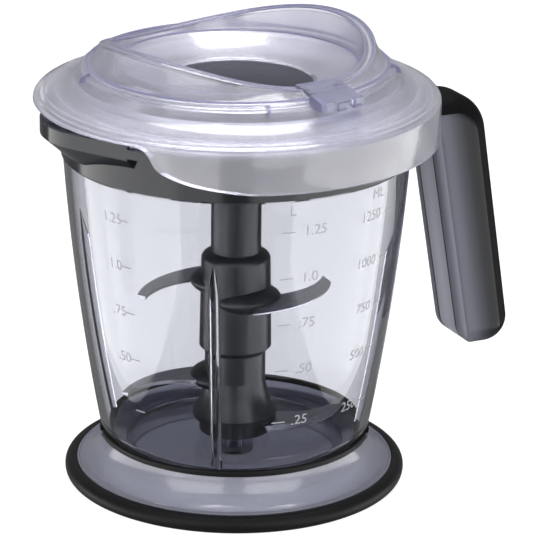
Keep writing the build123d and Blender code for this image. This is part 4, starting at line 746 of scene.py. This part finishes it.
def makeCrater():
    # turned round the axis; the weight of a point says how far it follows the saddle's rise and fall
    s = craterSizes
    rim, band, wall, top = s["rim"], s["rim"] - s["rimWidth"], s["wall"], s["rimHeight"]
    (bowl, bowlHeight), (step, stepHeight) = s["bowlFoot"], s["step"]
    foot, wallLow, innerLow = s["foot"], s["footTop"] + s["footEase"][1], s["pocketLow"]
    bore, holeHeight = s["bore"], s["holeHeight"]
    outline, wave = [], []

    def add(r, z, weight=0):
        outline.append((r, z))
        wave.append(weight)

    add(s["tube"], s["low"])
    add(s["tube"], holeHeight - wall)
    add(step, stepHeight - wall)
    add(bowl + wall, bowlHeight - wall)
    under = bowlHeight - wall / 2
    for i in range(9):   # underside of the bowl's wall
        t = i / 8
        add(bowl + wall + (band - bowl) * t, under + (top - wall - under) * t, t)
    for i in range(12):   # inside of the outer wall
        t = 1 - i / 11
        add(rim - wall + s["wallSpread"] * (1 - t) ** s["innerBend"],
            innerLow + (top - wall - innerLow) * t, t)
    add(foot, s["footLow"])
    add(foot, s["footTop"])
    add(foot - s["footEase"][0], wallLow)
    for i in range(1, 17):   # outer wall, rising to the rim
        t = i / 16
        add(rim + (s["wallFoot"] - rim) * (1 - t) ** s["outerBend"],
            wallLow + (top - s["rimDrop"] - wallLow) * t, t)
    for inward, down in s["outerBead"]:
        add(rim - inward, top - down, 1)
    for outward, down in s["innerBead"]:
        add(band + outward, top - down, 1)
    brim = outline[-1][1]
    for i in range(1, 15):   # inside of the bowl
        t = 1 - i / 14
        add(bowl + (band - bowl) * t, bowlHeight + (brim - bowlHeight) * t, t)
    add(bowl - s["bowlEase"][0], bowlHeight - s["bowlEase"][1])
    add(step + s["stepRise"][0], stepHeight + s["stepRise"][1])
    add(step, stepHeight - s["stepDrop"])
    hole, middle = bore + s["holeRound"], s["holeMiddle"]
    add(hole + s["holeEase"][0], holeHeight + s["holeEase"][1])
    for r, z in arcPoints((hole, holeHeight), (bore + middle, holeHeight - middle),
                          (bore, holeHeight - s["holeRound"]), 6):
        add(r, z)
    add(bore, s["seatHeight"])
    add(s["seat"], s["seatHeight"])
    add(s["seat"], s["low"])
    crater = addObject("saddleCrater", latheMesh("saddleCrater", outline, 288, wave))
    runTree(crater, saddleTree, Swing=s["swing"] * mm, Peak=s["peak"], Material=frostedPp)
    cutPocket(crater, s["pocketInner"])
    finishMesh(crater.data, 28)

    # the bore's wall is given the darker smoke finish: painted shade inside the deep hole, where the dark
    # geared part behind it also shows through
    crater.data.materials.append(smokeSan)
    for face in crater.data.polygons:
        x, y, z = face.center
        if hypot(x, y) < (bore + s["boreSlack"]) * mm and s["seatHeight"] * mm < z < s["boreTop"] * mm:
            face.material_index = len(crater.data.materials) - 1
    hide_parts("coupling_collar")
    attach(crater, "lid")


def makeEdgeLines():
    # thin dark lines where the crater's plastic is seen on edge
    s = craterSizes
    thick = s["edgeThick"]
    for name, r, z, follow in s["edges"]:
        outline = [(r - thick, z), (r, z - thick), (r + thick, z), (r, z + thick)]
        line = addObject(name + "Line", latheMesh(name + "Line", outline, 192, [follow] * 4))
        runTree(line, saddleTree, Swing=s["swing"] * mm, Peak=s["peak"], Material=edgePp)
        if r + thick > s["pocketInner"] and z > s["pocketLow"]:
            cutPocket(line, s["pocketInner"] - s["lineGap"])
        finishMesh(line.data, 40)
        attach(line, "lid")


makeCrater()
makeEdgeLines()
print("crater done")

scaleSizes = {
    "marks": [128.6, 108.5, 88.2, 67.5, 43.9], "lineWide": 0.4, "lineLong": 5.6, "lineDeep": 0.3,
    "textHigh": 4.3, "capShare": 0.7, "textThin": 0.0001, "textSteps": 3, "inkDepth": 0.05, "inkGap": 0.02,
    "litreTurn": 262.0, "litreText": 267.3, "litreWords": ["1.25", "1.0", ".75", ".50", ".25"],
    "litreUnit": "L",
    "millTurn": 305.0, "millText": 300.0, "millWords": ["1250", "1000", "750", "500", "250"],
    "millUnit": "ML", "millUnitTurn": 301.0,
    "backTurn": 205.5, "backText": 200.5, "backWords": ["1.25", "1.0", ".75", ".50"], "backShare": 0.8,
    "unitRise": 9.0,
}


def wrapOnWall(mesh, turn, height):
    # flat print, x along the wall and y up, laid on the jug from the given turn and height
    for vertex in mesh.vertices:
        x, y, z = (value / mm for value in vertex.co)
        r = wallRadius(height + y) + scaleSizes["inkGap"] + z
        a = radians(turn) + x / wallRadius(height)
        vertex.co = (r * cos(a) * mm, r * sin(a) * mm, (height + y) * mm)


def printWord(word, turn, height, align="LEFT"):
    s = scaleSizes
    curve = bpy.data.curves.new("print" + word, "FONT")
    curve.body, curve.align_x, curve.align_y = word, align, "CENTER"
    curve.size = s["textHigh"] * mm / s["capShare"]
    curve.extrude = s["inkDepth"] * mm / 2
    curve.offset = -s["textThin"] * s["textHigh"] * mm
    curve.resolution_u = s["textSteps"]
    holder = bpy.data.objects.new("word", curve)
    scene.collection.objects.link(holder)
    bpy.context.view_layer.update()
    graph = bpy.context.evaluated_depsgraph_get()
    mesh = bpy.data.meshes.new_from_object(holder.evaluated_get(graph))
    bpy.data.objects.remove(holder)
    wrapOnWall(mesh, turn, height)
    return mesh


def makeTicksTree():
    # a bar of Long x Wide x Deep on each point, turned to face outward by the point's turn attribute
    tree, given = startTree("wallTicks", ["Long", "Wide", "Deep"], [("Material", "NodeSocketMaterial")])
    size = addNode(tree, "ShaderNodeCombineXYZ", {
        "X": given.outputs["Deep"], "Y": given.outputs["Long"], "Z": given.outputs["Wide"]})
    bar = addNode(tree, "GeometryNodeMeshCube", {"Size": size.outputs[0], "Vertices Y": 4})
    turn = addNode(tree, "GeometryNodeInputNamedAttribute", {"Name": "turn"}, data_type="FLOAT")
    upright = addNode(tree, "ShaderNodeCombineXYZ", {"Z": turn.outputs[0]})
    bars = addNode(tree, "GeometryNodeInstanceOnPoints", {
        "Points": given.outputs["Geometry"], "Instance": bar.outputs[0], "Rotation": upright.outputs[0]})
    endTree(tree, bars.outputs[0], given.outputs["Material"])
    return tree


def makeTicks(name, turn, share=1.0):
    # one bar for each mark, its middle at the turn
    s = scaleSizes
    mesh = bpy.data.meshes.new(name)
    a = radians(turn)
    points = [(wallRadius(z) * cos(a) * mm, wallRadius(z) * sin(a) * mm, z * mm) for z in s["marks"]]
    mesh.from_pydata(points, [], [])
    attribute = mesh.attributes.new("turn", "FLOAT", "POINT")
    for value in attribute.data:
        value.value = a
    return runTree(addObject(name, mesh), ticksTree, Long=s["lineLong"] * share * mm, Wide=s["lineWide"] * mm,
                   Deep=s["lineDeep"] * mm, Material=greyInk)


def makeScales():
    s = scaleSizes
    unitHeight = s["marks"][0] + s["unitRise"]
    words = [printWord(word, s["litreText"], z) for word, z in zip(s["litreWords"], s["marks"])]
    words.append(printWord(s["litreUnit"], s["litreTurn"], unitHeight))
    words += [printWord(word, s["millText"], z, "RIGHT") for word, z in zip(s["millWords"], s["marks"])]
    words.append(printWord(s["millUnit"], s["millUnitTurn"], unitHeight, "RIGHT"))
    # the scale on the far left is too faint to read in the picture, so it repeats the litres
    words += [printWord(word, s["backText"], z, "CENTER") for word, z in zip(s["backWords"], s["marks"])]
    pieces = [joinMeshes("scaleNumbers", words, greyInk), makeTicks("litreTicks", s["litreTurn"]),
              makeTicks("millilitreTicks", s["millTurn"]),
              makeTicks("leftTicks", s["backTurn"], s["backShare"])]
    for piece in pieces:
        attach(piece, "jug")


ticksTree = makeTicksTree()
makeScales()
print("scales done")

trimSizes = {
    "gussetTurns": [172.0, 256.0, 335.0], "gussetWide": 1.1,
    "gusset": [(62.4, 175.6), (67.2, 175.6), (66.3, 178.0), (63.8, 179.2), (62.4, 179.2)],   # radius, height
}


def makeGussets():
    # short radial fins under the ledge of the lid
    s = trimSizes
    half = s["gussetWide"] / 2
    meshes = [prismMesh("fin", s["gusset"], -half, half, radialPlace(turn)) for turn in s["gussetTurns"]]
    fins = joinMeshes("ledgeFins", meshes, edgePp)
    finishMesh(fins.data, 30)
    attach(fins, "lid")


makeGussets()
print("trim done")

latchSizes = {
    "turn": 283.0, "barFrom": 9.0, "barTo": 11.6,
    "bar": [(61.0, 176.4), (68.9, 176.4), (68.9, 179.4), (63.0, 181.4), (61.0, 181.4)],   # radius, height
    "hookReach": 68.7, "hookDeep": 0.7, "hookLow": 175.6, "hookHigh": 178.6, "hookWide": 0.9, "hookFoot": 4.2,
    "hookPlaces": [3.6, -4.4],
}


def makeLatchTrim():
    # dark bar beside the latch and the two L hooks under its front edge
    s = latchSizes
    place = radialPlace(s["turn"])
    bar = addObject("latchSideBar", prismMesh("latchSideBar", s["bar"], s["barFrom"], s["barTo"], place), edgePp)
    near, far, low = s["hookReach"], s["hookReach"] + s["hookDeep"], s["hookLow"]
    hooks = []
    for number, side in enumerate(s["hookPlaces"], 1):
        for name, wide, high in (("hookStem", s["hookWide"], s["hookHigh"]),
                                 ("hookFoot", s["hookFoot"], low + s["hookWide"])):
            outline = [(near, low), (far, low), (far, high), (near, high)]
            mesh = prismMesh(name, outline, side - wide, side, place)
            hooks.append(addObject("%s%d" % (name, number), mesh, edgePp))
    # the hooks stand on the latch itself, the bar beside it on the lid
    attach(bar, "lid")
    for hook in hooks:
        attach(hook, "lever")


makeLatchTrim()
print("latch trim done")


def dress(nodeName, material):
    # a CAD node keeps its shape and place and gets a finish
    node = cadNodes[nodeName]
    for slot in node.material_slots:
        slot.material = material
    if not node.material_slots:
        node.data.materials.append(material)


finishes = [
    (darkSmokeSan, ["rim_collar"]), (glossAbs, ["handle_shell"]), (satinAbs, ["handle_inner_cover"]),
    (gripTpe, ["handle_grip"]), (sealSilicone, ["lid_gasket"]), (latchPp, ["release_lever"]),
    (groundSteel, ["pivot_pin", "handle_screws", "lever_pin", "planet_pins", "housing_screws",
                   "upper_right_blade", "upper_left_blade", "lower_left_blade", "lower_right_blade"]),
    (darkNylon, ["blade_hub", "gear_housing", "gear_cover", "drive_coupling"]),
    (naturalPom, ["hub_bush", "ring_gear", "sun_gear", "planet_gear_1", "planet_gear_2", "planet_gear_3",
                  "planet_carrier", "carrier_bush", "sun_bush"]),
]
for finish, nodeNames in finishes:
    for nodeName in nodeNames:
        dress(nodeName, finish)
print("finishes done")

lightSizes = {
    "floorHalf": 3.0, "floorShare": 0.8, "floorLevel": 1.14, "worldLevel": 1.0, "softLevel": 0.22,
    "reach": 1.2, "turn": -25.0,
    # kind, turns from the camera's side, heights, radiance, lights only what mirrors it
    "panels": [("Softbox", (9.0, 55.0), (0.1, 0.95), 3.3, False),
               ("LowStrip", (9.0, 38.0), (-0.27, 0.0), 3.2, True),
               ("SideStrip", (38.0, 120.0), (-0.75, 0.0), 3.8, True)],
    "topSize": 1.0, "topPower": 36.0, "topAt": (0.1, 0.2, 1.5),
    "cameraAt": (-0.5574, -1.1954, 0.549), "yaw": 0.62, "pitch": 19.21, "roll": 0.70, "lens": 222.47,
    "sensor": 36.0, "clipEnd": 20.0,
}


def sortRays(tree):
    # 1 for what the camera sees directly or through the plastic, 0 after a reflection
    path = addNode(tree, "ShaderNodeLightPath")
    bounced = addNode(tree, "ShaderNodeMath", {
        0: path.outputs["Glossy Depth"], 1: path.outputs["Diffuse Depth"]}, operation="ADD")
    direct = addNode(tree, "ShaderNodeMath", {0: bounced.outputs[0], 1: 0.5}, operation="LESS_THAN")
    return path, direct.outputs[0]


def makeFloor():
    # a table that mostly glows white where it is seen directly, and is matt for the light around it
    s = lightSizes
    half = s["floorHalf"]
    mesh = bpy.data.meshes.new("floor")
    corners = [(-half, -half, 0), (half, -half, 0), (half, half, 0), (-half, half, 0)]
    mesh.from_pydata(corners, [], [(0, 1, 2, 3)])
    floor = bpy.data.objects.new("floor", mesh)
    scene.collection.objects.link(floor)
    material = bpy.data.materials.new("paleFloor")
    material.use_nodes = True
    tree = material.node_tree
    tree.nodes.clear()
    path, direct = sortRays(tree)
    share = addNode(tree, "ShaderNodeMath", {0: direct, 1: s["floorShare"]}, operation="MULTIPLY")
    matt = addNode(tree, "ShaderNodeBsdfDiffuse", {"Color": toLinear("#f2f2f2")})
    glow = addNode(tree, "ShaderNodeEmission", {"Color": toLinear("#ffffff"), "Strength": s["floorLevel"]})
    seen = addNode(tree, "ShaderNodeMixShader", {
        "Fac": share.outputs[0], 1: matt.outputs[0], 2: glow.outputs[0]})
    # a reflection looks past the table's edge to the low lamps
    mirrored = addNode(tree, "ShaderNodeMath", {
        0: path.outputs["Glossy Depth"], 1: 0.5}, operation="GREATER_THAN")
    clearWay = addNode(tree, "ShaderNodeBsdfTransparent")
    mix = addNode(tree, "ShaderNodeMixShader", {
        "Fac": mirrored.outputs[0], 1: seen.outputs[0], 2: clearWay.outputs[0]})
    addNode(tree, "ShaderNodeOutputMaterial", {"Surface": mix.outputs[0]})
    mesh.materials.append(material)


def makeWorld():
    # white where the camera looks, a soft grey light for everything else
    s = lightSizes
    world = bpy.data.worlds.new("studio")
    scene.world = world
    world.use_nodes = True
    tree = world.node_tree
    tree.nodes.clear()
    direct = sortRays(tree)[1]
    soft = addNode(tree, "ShaderNodeBackground", {"Color": toLinear("#ffffff"), "Strength": s["softLevel"]})
    white = addNode(tree, "ShaderNodeBackground", {"Color": toLinear("#ffffff"), "Strength": s["worldLevel"]})
    mix = addNode(tree, "ShaderNodeMixShader", {"Fac": direct, 1: soft.outputs[0], 2: white.outputs[0]})
    addNode(tree, "ShaderNodeOutputWorld", {"Surface": mix.outputs[0]})


def addLamp(name, width, height, energy, place):
    lamp = bpy.data.lights.new(name, "AREA")
    lamp.shape = "RECTANGLE"
    lamp.size, lamp.size_y, lamp.energy = width, height, energy
    holder = bpy.data.objects.new(name, lamp)
    scene.collection.objects.link(holder)
    holder.location = place
    return holder


def addPanel(name, turns, heights, level, onlyMirrored):
    # an upright lamp of a radiance, between two turns from the camera's side, facing the object
    s = lightSizes
    reach = s["reach"]
    middle = radians((turns[0] + turns[1]) / 2 - 90 + s["turn"])
    width = 2 * reach * tan(radians(abs(turns[1] - turns[0]) / 2))
    height = heights[1] - heights[0]
    place = (reach * cos(middle), reach * sin(middle), (heights[0] + heights[1]) / 2)
    panel = addLamp(name, width, height, pi * level * width * height, place)
    panel.rotation_mode = "QUATERNION"
    panel.rotation_quaternion = Vector((-cos(middle), -sin(middle), 0)).to_track_quat("-Z", "Y")
    if onlyMirrored:
        panel.visible_diffuse = False


def addTop():
    # a level lamp above the object, facing down
    s = lightSizes
    addLamp("topLight", s["topSize"], s["topSize"], s["topPower"], s["topAt"])


def placeCamera():
    # as fitted to the photograph's circles; yaw, pitch and roll come before the turn of the view
    s = lightSizes
    yaw, pitch, roll = radians(s["yaw"]), radians(s["pitch"]), radians(s["roll"])
    forward = Vector((sin(yaw) * cos(pitch), cos(yaw) * cos(pitch), -sin(pitch)))
    right = Vector((cos(yaw), -sin(yaw), 0))
    up = right.cross(forward)
    right, up = right * cos(roll) + up * sin(roll), up * cos(roll) - right * sin(roll)
    turn = Matrix.Rotation(radians(s["turn"]), 3, "Z")
    axes = Matrix((turn @ right, turn @ up, -(turn @ forward))).transposed()
    data = bpy.data.cameras.new("photoCamera")
    data.lens, data.sensor_width, data.clip_end = s["lens"], s["sensor"], s["clipEnd"]
    camera = bpy.data.objects.new("photoCamera", data)
    scene.collection.objects.link(camera)
    camera.matrix_world = Matrix.Translation(Vector(s["cameraAt"])) @ axes.to_4x4()
    scene.camera = camera


makeFloor()
makeWorld()
for side, name in ((-1, "left"), (1, "right")):
    for kind, turns, heights, level, onlyMirrored in lightSizes["panels"]:
        addPanel(name + kind, [side * turn for turn in turns], heights, level, onlyMirrored)
addTop()
placeCamera()
scene.view_settings.view_transform = "Standard"
print("stage done")
